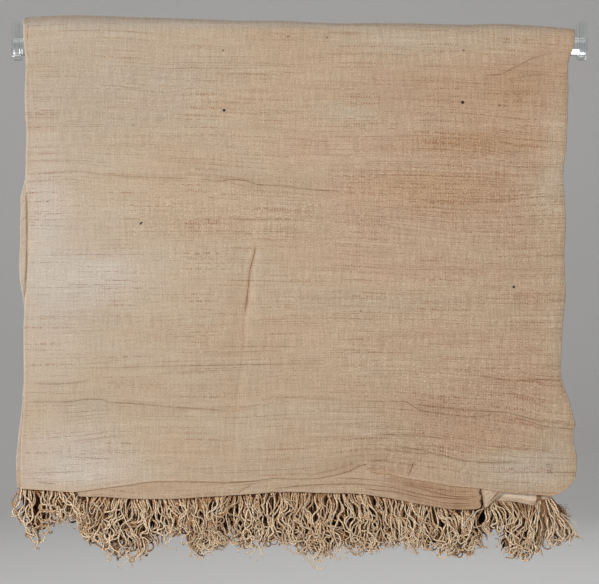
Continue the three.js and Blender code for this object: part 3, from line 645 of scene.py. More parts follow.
def rim_faces(line, flip):
    """Faces that close the edge between the two sides along a line of (i, j) places."""
    stops = [k for k, (i, j) in enumerate(line) if both[i, j]]
    for a, b in zip(stops, stops[1:]):
        one = [index[0, i, j] for i, j in line[a:b + 1] if used[0, i, j]]
        two = [index[1, i, j] for i, j in line[a:b + 1] if used[1, i, j]]
        ring = one + two[::-1]
        polygons.append(ring[::-1] if flip else ring)
        poly_side.append(2)


flip = outward < 0
rim_faces([(i, 0) for i in range(NI + 1)], not flip)
rim_faces([(i, NJ) for i in range(NI + 1)], flip)
rim_faces([(0, j) for j in range(NJ + 1)], flip)
rim_faces([(NI, j) for j in range(NJ + 1)], not flip)


def new_mesh(name, co, polys, smooth_shade=True):
    me = bpy.data.meshes.new(name)
    me.from_pydata(co.tolist() if hasattr(co, "tolist") else co, [], polys)
    me.validate()
    if smooth_shade:
        me.polygons.foreach_set("use_smooth", np.ones(len(me.polygons), bool))
    ob = bpy.data.objects.new(name, me)
    bpy.context.scene.collection.objects.link(ob)
    return ob


cloth = new_mesh("linen_cloth", verts, polygons)


def attribute(me, name, values, kind="FLOAT", domain="POINT"):
    a = me.attributes.new(name, kind, domain)
    a.data.foreach_set("vector" if kind == "FLOAT_VECTOR" else "value", np.ascontiguousarray(values, np.float32).ravel())


vx, vy, vv = X[i_id, j_id], Y[i_id, j_id], V[i_id, j_id]
outer_part = (s_id == 0) & (j_id >= marks["rim"]) & (j_id < marks["back"]) & (D[i_id, j_id] < 0)
band_part = (s_id == 0) & (j_id >= marks["band"] + 2) & (j_id < marks["tuck"] + 1)
attribute(cloth.data, "pattern", np.stack([vx, vv, s_id * 40.0 + np.zeros(len(vx))], 1), "FLOAT_VECTOR")

# Patches and edges
tone, warm = np.zeros(len(vx)), np.zeros(len(vx))
for x, y, rx, ry, t, w in PATCHES:
    g = np.exp(-(((vx - x) / rx) ** 2 + ((vy - y) / ry) ** 2)) * outer_part
    tone += t * g
    warm += w * g
trend = smooth((vx - 40) / 520) * outer_part
tone -= 0.037 * trend - 0.003
warm += 0.35 * trend
# painted shade and painted light at the upright fold: a dark line in its trough and a lighter band on the roll beside
# it
upright_at = curve([(236, 256.6), (244, 255.8), (262, 251.6), (270, 249.8), (285, 248.3), (300, 246.4), (320, 243.8), (340, 242.6), (380, 240.5)])
beside = vx - upright_at(vy)
upright_fold_light_shade = outer_part * smooth((vy - 236) / 14) * smooth((352 - vy) / 22)
tone += upright_fold_light_shade * (0.05 * np.exp(-((beside - 5.5) / 4.0) ** 2) - 0.08 * np.exp(-(beside / 1.7) ** 2))
warm += upright_fold_light_shade * 0.35 * np.exp(-(beside / 1.9) ** 2)
tone += np.where(band_part, -0.02 - 0.10 * smooth((vx - 360) / 70), 0)
warm += np.where(band_part, 0.2 + 0.6 * smooth((vx - 360) / 70), 0)
# painted light and shade on the flap: its left facet painted paler, its right facet a little darker
flap_facet_light = band_part & (vx > 482.5) & (vx < 512)
tone += np.where(flap_facet_light, np.where(vx + (vy - 490) * 0.62 < 499, 0.24, -0.02), 0)
warm += np.where(flap_facet_light, -0.8, 0)
# painted highlight: a pale line along the outer face's lower rim
rim_highlight = outer_part & (rim[i_id] - vy < 0.9)
tone += np.where(rim_highlight, 0.16, 0)
warm += np.where(rim_highlight, 0.5, 0)
# the strip of the middle layer that shows at the left, and the dark line where the face rolls back against it, painted
# shade
mid_part = (s_id == 1) & (j_id >= marks["mid"]) & (j_id < marks["band"])
roll_shade = smooth((vy - 190) / 8) * smooth((299 - vy) / 10) * (0.8 + 0.5 * noise(vy / 15.0, 0.5, 71))
tone += mid_part * (0.03 - 0.62 * roll_shade * np.exp(-((vx - OUTER.left(vy) + 0.3) / 1.15) ** 2))
warm += mid_part * (-0.55 + 1.1 * roll_shade * np.exp(-((vx - OUTER.left(vy) + 0.3) / 1.6) ** 2))
tone -= outer_part * 0.36 * roll_shade * np.exp(-((vx - OUTER.left(vy)) / 0.8) ** 2)
warm += outer_part * 0.8 * roll_shade * np.exp(-((vx - OUTER.left(vy)) / 1.2) ** 2)
in_end = j_id <= 8
# painted shade: the notch and the slit under the tear are painted dark; painted light: the inner end right of x 494 is
# painted paler against the shade of the layers in front
notch_shade = in_end & (vx > 537.2) & (vx < 542.6)
tone += np.where(in_end & ~notch_shade, 0.02 + 0.40 * smooth((vx - 494) / 6), 0)
tone -= np.where(in_end, 0.75 * ((vx > 479) & (vx < 486.5)), 0) + np.where(notch_shade, 0.42, 0)
warm += np.where(in_end, -0.1 - 0.1 * smooth((vx - 494) / 6), 0) + np.where(notch_shade, 1.2, 0)
hem = in_end & (vx > 498) & (vx < 536.5)
hem_d = end_at(vx) - vy - 3.4 + 0.5 * noise(vx / 6.0, 0.5, 72)
tone -= np.where(hem, (0.55 + 0.25 * noise(vx / 4.0, 3.5, 73)) * np.exp(-(hem_d / 0.7) ** 2), 0)
warm += np.where(hem, 1.2 * np.exp(-(hem_d / 0.8) ** 2), 0)
edge_d = np.minimum(i_id, NI - i_id) * 2.0
edge_d = np.where(outer_part, np.clip(d_out[i_id, j_id], 0, 30), np.clip(edge_d, 0, 30))
edge_d = np.where(outer_part & (vx < 60) & (roll_shade > 0.25), 12.0, edge_d)
# painted highlight along the top edge and painted shade in a band just below it
top_d = vy - top_at(vx)
top_rim_light_and_shade = (s_id == 0) & (j_id >= marks["face"]) & (j_id < marks["back"])
tone += top_rim_light_and_shade * (0.42 * np.exp(-(top_d / 0.8) ** 2) - 0.09 * np.exp(-((top_d - 3.0) / 1.8) ** 2))
# painted shade where the outer layer turns back over the rod, darker and cooler towards the top
painted_top_shade = np.zeros(len(vx))
height_mm = (LZ - vy)
over_rod = (j_id >= marks["face"]) & (s_id == 0)
painted_top_shade += over_rod * smooth((height_mm - 12.5) / 15.0)
crinkled, dotted_most = amount(CRINKLED, vx, vy) * outer_part, amount(DOTTED, vx, vy) * outer_part
crinkled = np.where(j_id >= marks["back"], 0.45, crinkled)
attribute(cloth.data, "wear_and_top_shade", np.stack([crinkled, dotted_most, painted_top_shade], 1), "FLOAT_VECTOR")
attribute(cloth.data, "tint", np.stack([tone, warm, np.minimum(edge_d, 12.0)], 1), "FLOAT_VECTOR")

# Lines: sets of lines that stay apart, each stored as distance over width, dark and dotted strength
SETS = []


def clash(a, b):
    if a.upright != b.upright:
        return True
    low, high = max(a.low, b.low) - 6, min(a.high, b.high) + 6
    if low >= high:
        return False
    at = np.linspace(low, high, 24)
    return bool((np.abs(a.f(at) - b.f(at)) < 11).any())


for lines, part in ((face_lines, outer_part), (band_lines, band_part)):
    for line in lines:
        for chosen in SETS:
            if all(p is not part or not clash(line, other) for other, p in chosen):
                chosen.append((line, part))
                break
        else:
            SETS.append([(line, part)])
for k, chosen in enumerate(SETS):
    best = np.full(len(vx), 9.0)
    q, dark, dots = np.full(len(vx), 9.0), np.zeros(len(vx)), np.zeros(len(vx))
    for line, part in chosen:
        off, s = line.measure(vx, vy)
        near = part & (np.abs(off) < np.abs(best)) & (s > 0)
        best = np.where(near, off, best)
        q = np.where(near, np.clip(off / line.width, -9, 9), q)
        dark = np.where(near, s * line.dark * (line.kind == "crease"), dark)
        dots = np.where(near, s * line.dark * (line.kind == "dots"), dots)
    attribute(cloth.data, f"line_{k}", np.stack([q, dark, dots], 1), "FLOAT_VECTOR")

# A flat map of the whole sheet in which the outer face has most of the room
span = np.ones(NJ)
for j in range(NJ):
    s = segment_of[min(j + 1, NJ)]
    length = max(float(step_length[NI // 2, j]) * 1000, 0.3)
    span[j] = length * {"face": 1.0, "rim": 1.0, "top": 1.0, "band": 0.9, "band_turn": 0.9, "back": 0.42}.get(s, 0.06)
row_v = np.concatenate([[0], np.cumsum(span)])
row_v /= row_v[-1]
u_of, v_of = (X0[i_id] - FIRST_X) / (LAST_X - FIRST_X), row_v[j_id]
me = cloth.data
loop_vertex = np.zeros(len(me.loops), np.int32)
me.loops.foreach_get("vertex_index", loop_vertex)
loop_side = np.repeat(np.array(poly_side), [len(p) for p in polygons])[:len(loop_vertex)]
uv = np.zeros((len(loop_vertex), 2), np.float32)
hidden = loop_side == 1
uv[:, 0] = np.where(hidden, 0.855 + 0.14 * u_of[loop_vertex], 0.004 + 0.84 * u_of[loop_vertex])
uv[:, 1] = 0.004 + 0.992 * v_of[loop_vertex]
closing = loop_side == 2
uv[closing, 0] = np.clip(uv[closing, 0], 0.0, 0.9995)
layer = me.uv_layers.new(name="OFBake")
layer.data.foreach_set("uv", uv.ravel())


# ---------------------------------------------------------------- node helpers
class Nodes:
    def __init__(self, name):
        self.mat = bpy.data.materials.new(name)
        self.mat.use_nodes = True
        self.tree = self.mat.node_tree
        self.tree.nodes.clear()
        self.out = self.tree.nodes.new("ShaderNodeOutputMaterial")
        self.shader = self.tree.nodes.new("ShaderNodeBsdfPrincipled")
        self.tree.links.new(self.shader.outputs[0], self.out.inputs[0])

    def put(self, socket, value):
        if isinstance(value, bpy.types.NodeSocket):
            self.tree.links.new(value, socket)
        else:
            socket.default_value = value

    def node(self, kind, inputs=(), **props):
        n = self.tree.nodes.new(kind)
        for k, v in props.items():
            setattr(n, k, v)
        for k, v in dict(inputs).items():
            self.put(n.inputs[k], v)
        return n

    def math(self, op, a, b=0.0, c=0.0, clamp=False):
        n = self.node("ShaderNodeMath", operation=op, use_clamp=clamp)
        for s, v in zip(n.inputs, (a, b, c)):
            self.put(s, v)
        return n.outputs[0]

    def attr(self, name):
        return self.node("ShaderNodeAttribute", attribute_name=name)

    def split(self, vector):
        n = self.node("ShaderNodeSeparateXYZ", {0: vector})
        return n.outputs[0], n.outputs[1], n.outputs[2]

    def join(self, x, y, z=0.0):
        return self.node("ShaderNodeCombineXYZ", {0: x, 1: y, 2: z}).outputs[0]

    def noise(self, vector, scale=1.0, detail=2.0, rough=0.5, distortion=0.0):
        return self.node("ShaderNodeTexNoise", {"Vector": vector, "Scale": scale, "Detail": detail, "Roughness": rough, "Distortion": distortion}).outputs[0]

    def range(self, value, a, b, c=0.0, d=1.0, kind="SMOOTHSTEP"):
        return self.node("ShaderNodeMapRange", {0: value, 1: a, 2: b, 3: c, 4: d}, interpolation_type=kind).outputs[0]

    def mix(self, factor, a, b, blend="MIX"):
        n = self.node("ShaderNodeMix", data_type="RGBA", blend_type=blend)
        self.put(n.inputs[0], factor)
        self.put(n.inputs[6], a)
        self.put(n.inputs[7], b)
        return n.outputs[2]


def linear(r, g, b):
    return tuple((c / 255 / 12.92) if c / 255 <= 0.04045 else ((c / 255 + 0.055) / 1.055) ** 2.4 for c in (r, g, b)) + (1.0,)


# ---------------------------------------------------------------- linen
def linen_material():
    m = Nodes("linen_weave")
    u, v, w = m.split(m.attr("pattern").outputs["Vector"])
    tone, warm, edge = m.split(m.attr("tint").outputs["Vector"])
    crinkled, dotted_most, painted_top_shade = m.split(m.attr("wear_and_top_shade").outputs["Vector"])
    contrast = m.math("ADD", m.range(u, 40.0, 560.0, 0.72, 1.20, "LINEAR"), m.math("MULTIPLY", dotted_most, 0.20))

    def scaled(a, b, c=0.0):
        return m.join(m.math("MULTIPLY", u, a), m.math("MULTIPLY", v, b), m.math("ADD", w, c))

    wander = m.math("MULTIPLY_ADD", m.noise(scaled(1 / 55, 1 / 24), detail=1.0), 2.0, -1.0)
    vw = m.math("ADD", v, wander)
    sway = m.math("MULTIPLY_ADD", m.noise(scaled(1 / 14, 1 / 60, 2.0), detail=1.0), 2.2, -1.1)
    uw = m.math("ADD", u, sway)

    def streak(a, b, c, detail=2.0):
        return m.noise(m.join(m.math("MULTIPLY", u, a), m.math("MULTIPLY", vw, b), m.math("ADD", w, c)), detail=detail)

    fine = streak(1 / 30, 1 / 1.25, 3.0, 1.0)
    thin = streak(1 / 70, 1 / 2.4, 7.0, 2.0)
    medium = streak(1 / 120, 1 / 7.0, 11.0, 2.0)
    broad = streak(1 / 260, 1 / 26.0, 15.0, 2.0)
    upright = m.noise(m.join(m.math("MULTIPLY", uw, 1 / 1.55), m.math("MULTIPLY", v, 1 / 22), m.math("ADD", w, 19.0)), detail=1.0)
    column = m.noise(m.join(m.math("MULTIPLY", uw, 1 / 5.0), m.math("MULTIPLY", v, 1 / 150), m.math("ADD", w, 23.0)), detail=2.0)
    grain = m.noise(m.join(m.math("MULTIPLY", uw, 1 / 1.45), m.math("MULTIPLY", vw, 1 / 1.35), m.math("ADD", w, 25.0)), detail=1.0, rough=0.7)
    mottle = m.noise(scaled(1 / 5.5, 1 / 3.2, 27.0), detail=3.0, rough=0.65)
    cloud = m.noise(scaled(1 / 70, 1 / 48, 31.0), detail=2.0)

    # Dotted rows: some weft threads leave dark dots between every few warps
    phase = m.math("MULTIPLY", m.noise(m.join(m.math("MULTIPLY", u, 1 / 24), m.math("MULTIPLY", vw, 1 / 1.7), 47.0), detail=0.0), 5.0)
    teeth = m.math("SINE", m.math("MULTIPLY_ADD", uw, 2 * math.pi / 2.55, phase))
    dot = m.math("MULTIPLY", m.range(teeth, -0.45, 0.55, 0.12, 1.0), m.range(m.noise(scaled(1 / 5.0, 1 / 1.9, 51.0), detail=0.0), 0.36, 0.58))
    row = streak(1 / 80, 1 / 1.2, 41.0, 0.0)
    strong_row = streak(1 / 160, 1 / 1.5, 43.0, 0.0)
    level = m.math("SUBTRACT", row, m.math("MULTIPLY_ADD", dotted_most, -0.070, m.range(u, 40.0, 560.0, 0.693, 0.620, "LINEAR")))
    row_mask = m.range(level, 0.0, 0.045)
    strong = m.range(m.math("SUBTRACT", strong_row, m.math("MULTIPLY_ADD", dotted_most, -0.03, m.range(u, 40.0, 560.0, 0.745, 0.700, "LINEAR"))), 0.0, 0.05)
    strong = m.math("MULTIPLY", strong, m.range(m.noise(scaled(1 / 7.0, 1 / 1.9, 55.0), detail=1.0), 0.36, 0.56, 0.25, 1.0))
    dotted = m.math("MULTIPLY", row_mask, dot)
    # Thicker pale threads and pale specks
    slub = m.range(streak(1 / 20, 1 / 1.1, 61.0, 0.0), 0.68, 0.80)
    knots = m.math("MULTIPLY", m.range(m.noise(scaled(1 / 1.9, 1 / 1.2, 71.0), detail=0.0), 0.66, 0.76), m.math("MULTIPLY_ADD", dotted_most, 0.7, 0.35))
    pits = m.math("MULTIPLY", m.range(m.noise(scaled(1 / 1.7, 1 / 1.3, 73.0), detail=0.0), 0.68, 0.78), m.math("MULTIPLY_ADD", dotted_most, 0.7, 0.35))

    # Creases and marked rows from their distance fields. The crease lines and a soft halo round them are painted
    # darker: painted shade in the folds, with some dirt in the lines.
    wobble = m.math("MULTIPLY_ADD", m.noise(scaled(1 / 4.2, 1 / 4.2, 81.0), detail=1.0), 1.1, -0.55)
    vary = m.range(m.noise(scaled(1 / 11, 1 / 11, 85.0), detail=1.0), 0.32, 0.68, 0.45, 1.0)
    crease_shade_and_dirt, dots_sum, crease_halo_shade = 0.0, 0.0, 0.0
    for k in range(len(SETS)):
        q, dark, dots = m.split(m.attr(f"line_{k}").outputs["Vector"])
        near = m.math("ABSOLUTE", m.math("ADD", q, wobble))
        hit = m.range(near, 0.12, 0.98, 1.0, 0.0)
        halo = m.range(near, 0.5, 4.5, 1.0, 0.0)
        crease_shade_and_dirt = m.math("MULTIPLY_ADD", hit, dark, crease_shade_and_dirt)
        dots_sum = m.math("MULTIPLY_ADD", hit, dots, dots_sum)
        crease_halo_shade = m.math("MULTIPLY_ADD", halo, dark, crease_halo_shade)
    crease_shade_and_dirt = m.math("MULTIPLY", m.math("MULTIPLY", crease_shade_and_dirt, 1.2), vary, clamp=True)
    dots_sum = m.math("MULTIPLY", dots_sum, m.range(dot, 0.0, 0.7, 0.18, 1.0))

    # Small dark marks
    marks_sum = 0.0
    for x, y, r, s in SPOTS:
        name = float(weft(x, y))
        far = m.node("ShaderNodeVectorMath", operation="DISTANCE")
        m.put(far.inputs[0], m.join(u, v))
        far.inputs[1].default_value = (x, name, 0.0)
        marks_sum = m.math("MULTIPLY_ADD", m.range(far.outputs["Value"], r * 0.6, r * 1.7, 1.0, 0.0), s * 1.15, marks_sum)
    marks_sum = m.math("MULTIPLY", marks_sum, m.range(w, -1.0, 20.0, 1.0, 0.0), clamp=True)

    # The torn end of the band: its gap is painted nearly black, painted shade
    tear_shade = 0.0
    for x, y, r in TEAR:
        far = m.node("ShaderNodeVectorMath", operation="DISTANCE")
        m.put(far.inputs[0], m.join(u, v))
        far.inputs[1].default_value = (x, 1000 + y - float(band_at(x)), 0.0)
        tear_shade = m.math("ADD", tear_shade, m.range(far.outputs["Value"], r * 0.7, r * 1.25, 1.0, 0.0), clamp=True)

    weave_tone = 0.0
    for tex, gain in ((fine, 0.26), (thin, 0.12), (medium, 0.07), (upright, 0.36), (column, 0.05), (grain, 0.66), (mottle, 0.08)):
        weave_tone = m.math("ADD", weave_tone, m.math("MULTIPLY_ADD", tex, gain, -gain / 2))
    value = m.math("ADD", 1.0, tone)
    value = m.math("MULTIPLY_ADD", weave_tone, contrast, value)
    for tex, gain in ((broad, 0.09), (cloud, 0.06)):
        value = m.math("ADD", value, m.math("MULTIPLY_ADD", tex, gain, -gain / 2))
    rim_light = m.math("SUBTRACT", m.range(edge, 0.2, 1.8, 0.19, 0.0), m.math("MULTIPLY", m.range(edge, 1.2, 2.6), m.range(edge, 2.6, 6.0, 0.07, 0.0)))
    value = m.math("ADD", value, rim_light)
    value = m.math("ADD", value, m.math("MULTIPLY", slub, 0.12))
    value = m.math("ADD", value, m.math("MULTIPLY", knots, 0.30))
    value = m.math("ADD", value, m.math("MULTIPLY", pits, -0.22))
    # painted shade over the rod's top
    value = m.math("ADD", value, m.math("MULTIPLY", painted_top_shade, -0.24))

    warmth = m.math("ADD", warm, m.math("MULTIPLY_ADD", m.noise(scaled(1 / 110, 1 / 40, 91.0), detail=3.0), 1.0, -0.5))
    warmth = m.math("ADD", warmth, m.math("MULTIPLY_ADD", thin, -0.5, 0.25))
    # the painted shade over the rod's top is cooler
    warmth = m.math("ADD", warmth, m.math("MULTIPLY", painted_top_shade, -1.3))
    base = m.mix(m.range(warmth, -0.9, 0.0, 0.0, 1.0, "LINEAR"), linear(184, 172, 158), linear(181, 160, 137))
    base = m.mix(m.range(warmth, 0.0, 1.3, 0.0, 1.0, "LINEAR"), base, linear(180, 144, 111))
    value = m.math("MAXIMUM", value, 0.2)
    shade = m.node("ShaderNodeCombineColor", {0: value, 1: m.math("POWER", value, 1.12), 2: m.math("POWER", value, 1.25)}).outputs[0]
    colour = m.mix(1.0, base, shade, "MULTIPLY")
    colour = m.mix(m.math("MULTIPLY", dotted, 0.78), colour, linear(132, 86, 50))
    colour = m.mix(m.math("MULTIPLY", strong, 0.42), colour, linear(116, 76, 46))
    colour = m.mix(m.math("MULTIPLY", dots_sum, 1.15, clamp=True), colour, linear(112, 72, 45))
    # painted shade: a soft halo round the creases and the crease lines themselves, with some dirt in the lines
    colour = m.mix(m.math("MULTIPLY", crease_halo_shade, 0.16, clamp=True), colour, linear(140, 106, 76))
    colour = m.mix(m.math("MULTIPLY", crease_shade_and_dirt, 0.9, clamp=True), colour, linear(104, 64, 39))
    colour = m.mix(marks_sum, colour, linear(24, 12, 9))
    # painted shade in the tear's gap
    colour = m.mix(tear_shade, colour, linear(26, 14, 9))
    m.put(m.shader.inputs["Base Color"], colour)

    # Threads: plain weave relief, uneven rows, creases
    warp_wave = m.math("SINE", m.math("MULTIPLY", m.math("ADD", uw, m.math("MULTIPLY", upright, 0.9)), 2 * math.pi / 0.92))
    weft_wave = m.math("SINE", m.math("MULTIPLY", m.math("ADD", vw, m.math("MULTIPLY", fine, 0.8)), 2 * math.pi / 0.84))
    weave = m.math("MULTIPLY", warp_wave, weft_wave)
    height = m.math("MULTIPLY", weave, 0.05)
    for tex, gain in ((fine, 0.26), (thin, 0.22), (medium, 0.16), (upright, 0.24), (grain, 0.30), (mottle, 0.20)):
        height = m.math("MULTIPLY_ADD", tex, gain, height)
    pucker = m.math("MULTIPLY", crinkled, m.math("ABSOLUTE", m.math("MULTIPLY_ADD", m.noise(m.join(m.math("MULTIPLY", uw, 1 / 6.0), m.math("MULTIPLY", vw, 1 / 2.6), m.math("ADD", w, 33.0)), detail=2.0), 2.0, -1.0)))
    height = m.math("MULTIPLY_ADD", pucker, -0.9, height)
    height = m.math("MULTIPLY_ADD", slub, 0.12, height)
    height = m.math("MULTIPLY_ADD", dotted, -0.03, height)
    height = m.math("MULTIPLY_ADD", crease_shade_and_dirt, -0.12, height)
    height = m.math("MULTIPLY_ADD", dots_sum, -0.04, height)
    bump = m.node("ShaderNodeBump", {"Strength": 0.9, "Distance": 0.001, "Height": height})
    m.put(m.shader.inputs["Normal"], bump.outputs[0])
    m.put(m.shader.inputs["Roughness"], m.math("MULTIPLY_ADD", mottle, 0.14, 0.82))
    m.shader.inputs["Sheen Weight"].default_value = 0.06
    m.shader.inputs["Sheen Roughness"].default_value = 0.55
    m.shader.inputs["Specular IOR Level"].default_value = 0.15
    return m.mat


cloth.data.materials.append(linen_material())

# ---------------------------------------------------------------- fringe
# Guides: where a cord leaves the sheet's end, where it is a quarter, half and three quarters down, its tip, and the tip's height.
GUIDES = [
    (21, 19, 16, 14, 16, 514), (25, 26, 27, 30, 34, 545), (31, 32, 34, 36, 38, 543), (36, 40, 45, 51, 57, 530),
    (44, 47, 52, 59, 66, 521), (52, 57, 62, 67, 72, 527), (62, 66, 70, 73, 76, 520), (72, 76, 80, 83, 85, 516),
    (80, 82, 84, 85, 86, 522), (92, 88, 85, 86, 88, 541), (104, 98, 92, 91, 93, 541), (114, 107, 99, 97, 101, 538),
    (122, 117, 111, 110, 112, 553), (130, 127, 122, 120, 120, 560), (138, 137, 134, 131, 129, 561),
    (146, 147, 146, 143, 140, 556), (152, 156, 159, 160, 158, 544), (160, 165, 169, 171, 170, 540),
    (170, 176, 180, 182, 181, 538), (182, 187, 190, 190, 187, 549), (192, 195, 198, 199, 197, 554),
    (202, 204, 207, 209, 208, 554), (212, 213, 215, 217, 219, 548), (226, 221, 216, 216, 219, 545),
    (234, 229, 225, 224, 226, 543), (238, 237, 237, 238, 240, 548), (244, 246, 249, 251, 252, 554),
    (250, 254, 258, 261, 262, 541), (262, 250, 247, 252, 262, 534), (270, 268, 266, 268, 272, 548),
    (280, 281, 281, 283, 286, 546), (292, 292, 294, 296, 298, 550), (303, 303, 304, 306, 309, 554),
    (314, 313, 313, 315, 318, 558), (324, 323, 323, 324, 327, 557), (334, 331, 333, 337, 340, 554),
    (344, 348, 351, 353, 354, 557), (356, 361, 366, 369, 371, 552), (368, 374, 380, 384, 386, 548),
    (380, 387, 393, 396, 397, 543), (394, 400, 405, 408, 409, 545), (408, 411, 414, 417, 419, 548),
    (420, 422, 424, 427, 430, 549), (432, 434, 437, 440, 442, 552), (444, 446, 449, 451, 450, 553),
    (456, 458, 461, 464, 466, 556), (466, 468, 470, 472, 472, 552), (476, 473, 470, 471, 474, 548),
    (484, 481, 478, 479, 484, 540), (491, 490, 489, 488, 489, 530), (497, 498, 499, 500, 501, 531),
    (502, 508, 510, 508, 506, 557), (510, 516, 518, 515, 512, 557), (518, 524, 525, 521, 518, 557),
    (528, 529, 527, 524, 521, 552), (536, 533, 530, 530, 531, 556), (540, 538, 536, 536, 536, 558),
    (544, 543, 543, 543, 543, 553), (547, 549, 551, 553, 554, 548), (550, 555, 561, 566, 570, 546),
    (552, 560, 567, 573, 576, 543),
]
guide = np.array(GUIDES, float)


def guided(root):
    """Control points across and the tip's height for cords that leave the sheet at these places."""
    return [np.interp(root, guide[:, 0], guide[:, k]) for k in range(1, 6)]


def spline(points, t):
    """Points (n, c, d) on a smooth curve at t (n, k) from 0 to 1."""
    n, c, _ = points.shape
    ext = np.concatenate([2 * points[:, :1] - points[:, 1:2], points, 2 * points[:, -1:] - points[:, -2:-1]], 1)
    s = np.clip(t, 0, 1) * (c - 1)
    k = np.clip(np.floor(s).astype(int), 0, c - 2)
    f = (s - k)[..., None]
    rows_ = np.arange(n)[:, None]
    p0, p1, p2, p3 = (ext[rows_, k + o] for o in range(4))
    return 0.5 * (2 * p1 + (p2 - p0) * f + (2 * p0 - 5 * p1 + 4 * p2 - p3) * f * f + (3 * p1 - p0 - 3 * p2 + p3) * f ** 3)


def cord_paths(rng, roots, k, depth, spread, lengths, wild, lock_width, sway, reach, hooked):
    """Centre lines (n, k, 3) in layout millimetres: across, depth, down. Cords of one lock run side by side."""
    n = len(roots)
    a, b, c, tip_x, tip_y = guided(roots)
    top = end_at(roots) - 1.0
    name = np.floor((roots + rng.uniform(0, lock_width) + 1.5 * noise(roots / 5.0, 0.5, 51)) / lock_width).astype(int)
    name -= name.min()
    lock = rng.normal(0, 1, (name.max() + 1, 9))[name]
    middle = np.array([roots[name == q].mean() if (name == q).any() else 0.0 for q in range(name.max() + 1)])[name]
    gather = (middle - roots) * np.clip(0.14 + 0.22 * lock[:, 0], -0.15, 0.55)
    lengths = lengths * (1 + 0.05 * lock[:, 1])
    drop = (tip_y - top) * lengths
    wide = rng.normal(0, 1, n) * spread * 0.16 + lock[:, 2] * spread * 0.85
    ctrl = np.zeros((n, 5, 3))
    ctrl[:, :, 0] = np.stack([roots, a + wide * 0.3 + gather * 0.3, b + wide * 0.7 + gather * 0.8, c + wide + gather,
                              lerp(c, tip_x, np.minimum(lengths, 1.1)) + wide * 1.1 + gather * 0.8], 1)
    for q in range(5):
        ctrl[:, q, 2] = top + drop * q / 4
    t = np.linspace(0, 1, k)[None, :].repeat(n, 0)
    base = spline(ctrl, t)
    # Each cord's heading swings with its lock, and more on its own towards the tip
    straight = 1 - 0.55 * smooth((roots - 533) / 5)
    wild = (wild * straight)[:, None]
    heading = np.arctan2(np.gradient(base[:, :, 0], axis=1), np.gradient(base[:, :, 2], axis=1))
    run = t * drop[:, None] * 1.25
    swing = np.zeros((n, k))
    for w, (gain, wave) in enumerate(((1.05, 42.0), (0.60, 21.0))):
        lam = wave * np.clip(1 + 0.28 * lock[:, 3 + w], 0.6, 1.6)[:, None]
        swing += gain * (1 + 0.25 * lock[:, 5 + w])[:, None] * np.sin(2 * math.pi * run / lam + (2.2 * lock[:, 7 + w] + rng.normal(0, 0.12, n))[:, None])
    own = np.zeros((n, k))
    for gain, wave in ((0.62, 20.0), (0.36, 11.0)):
        lam = wave * rng.uniform(0.75, 1.35, (n, 1))
        own += gain * rng.uniform(0.4, 1.3, (n, 1)) * np.sin(2 * math.pi * run / lam + rng.uniform(0, 2 * math.pi, (n, 1)))
    swing = heading + 0.75 * sway * straight[:, None] * swing * (0.35 + 0.65 * smooth(t / 0.5)) + wild * own * (0.05 + 0.95 * smooth((t - 0.45) / 0.5))
    # Some tips curl up into loops
    curl = np.where(rng.uniform(0, 1, n) < hooked, rng.uniform(1.5, 3.7, n), rng.uniform(0.0, 0.6, n))
    curl *= np.where(rng.uniform(0, 1, n) < 0.5 + 0.3 * np.sign(lock[:, 8]), 1, -1)
    begin = rng.uniform(0.56, 0.84, n)[:, None]
    swing += curl[:, None] * smooth((t - begin) / (1.02 - begin))
    step = (drop * 1.25 / (k - 1))[:, None]
    path = np.zeros((n, k, 3))
    across = np.concatenate([np.zeros((n, 1)), np.cumsum(np.sin(swing[:, 1:]) * step, 1)], 1)
    down = np.concatenate([np.zeros((n, 1)), np.cumsum(np.cos(swing[:, 1:]) * step, 1)], 1)
    stretch = np.clip(drop / np.maximum(down.max(1), 1.0), 0.6, 1.9)[:, None]
    stray = roots[:, None] + across * np.clip(stretch, 0.7, 1.15) - base[:, :, 0]
    reach_ = reach[0] + reach[1] * t
    path[:, :, 0] = base[:, :, 0] + reach_ * np.tanh(stray / reach_)
    path[:, :, 2] = top[:, None] + down * stretch
    for gain, wave in ((1.2, 30.0), (0.5, 13.0)):
        lam = wave * rng.uniform(0.7, 1.4, (n, 1))
        path[:, :, 1] += gain * smooth(t / 0.35) * np.sin(2 * math.pi * run / lam + rng.uniform(0, 2 * math.pi, (n, 1)))
    # depth: behind the band's rim, then out to the cord's own layer
    below = smooth((path[:, :, 2] - band_at(path[:, :, 0]) + 1.0) / 12.0)
    path[:, :, 1] += -11.6 + (depth[:, None] + 11.6) * np.where(depth[:, None] < -11.6, below, smooth(t / 0.3))
    return path, lock


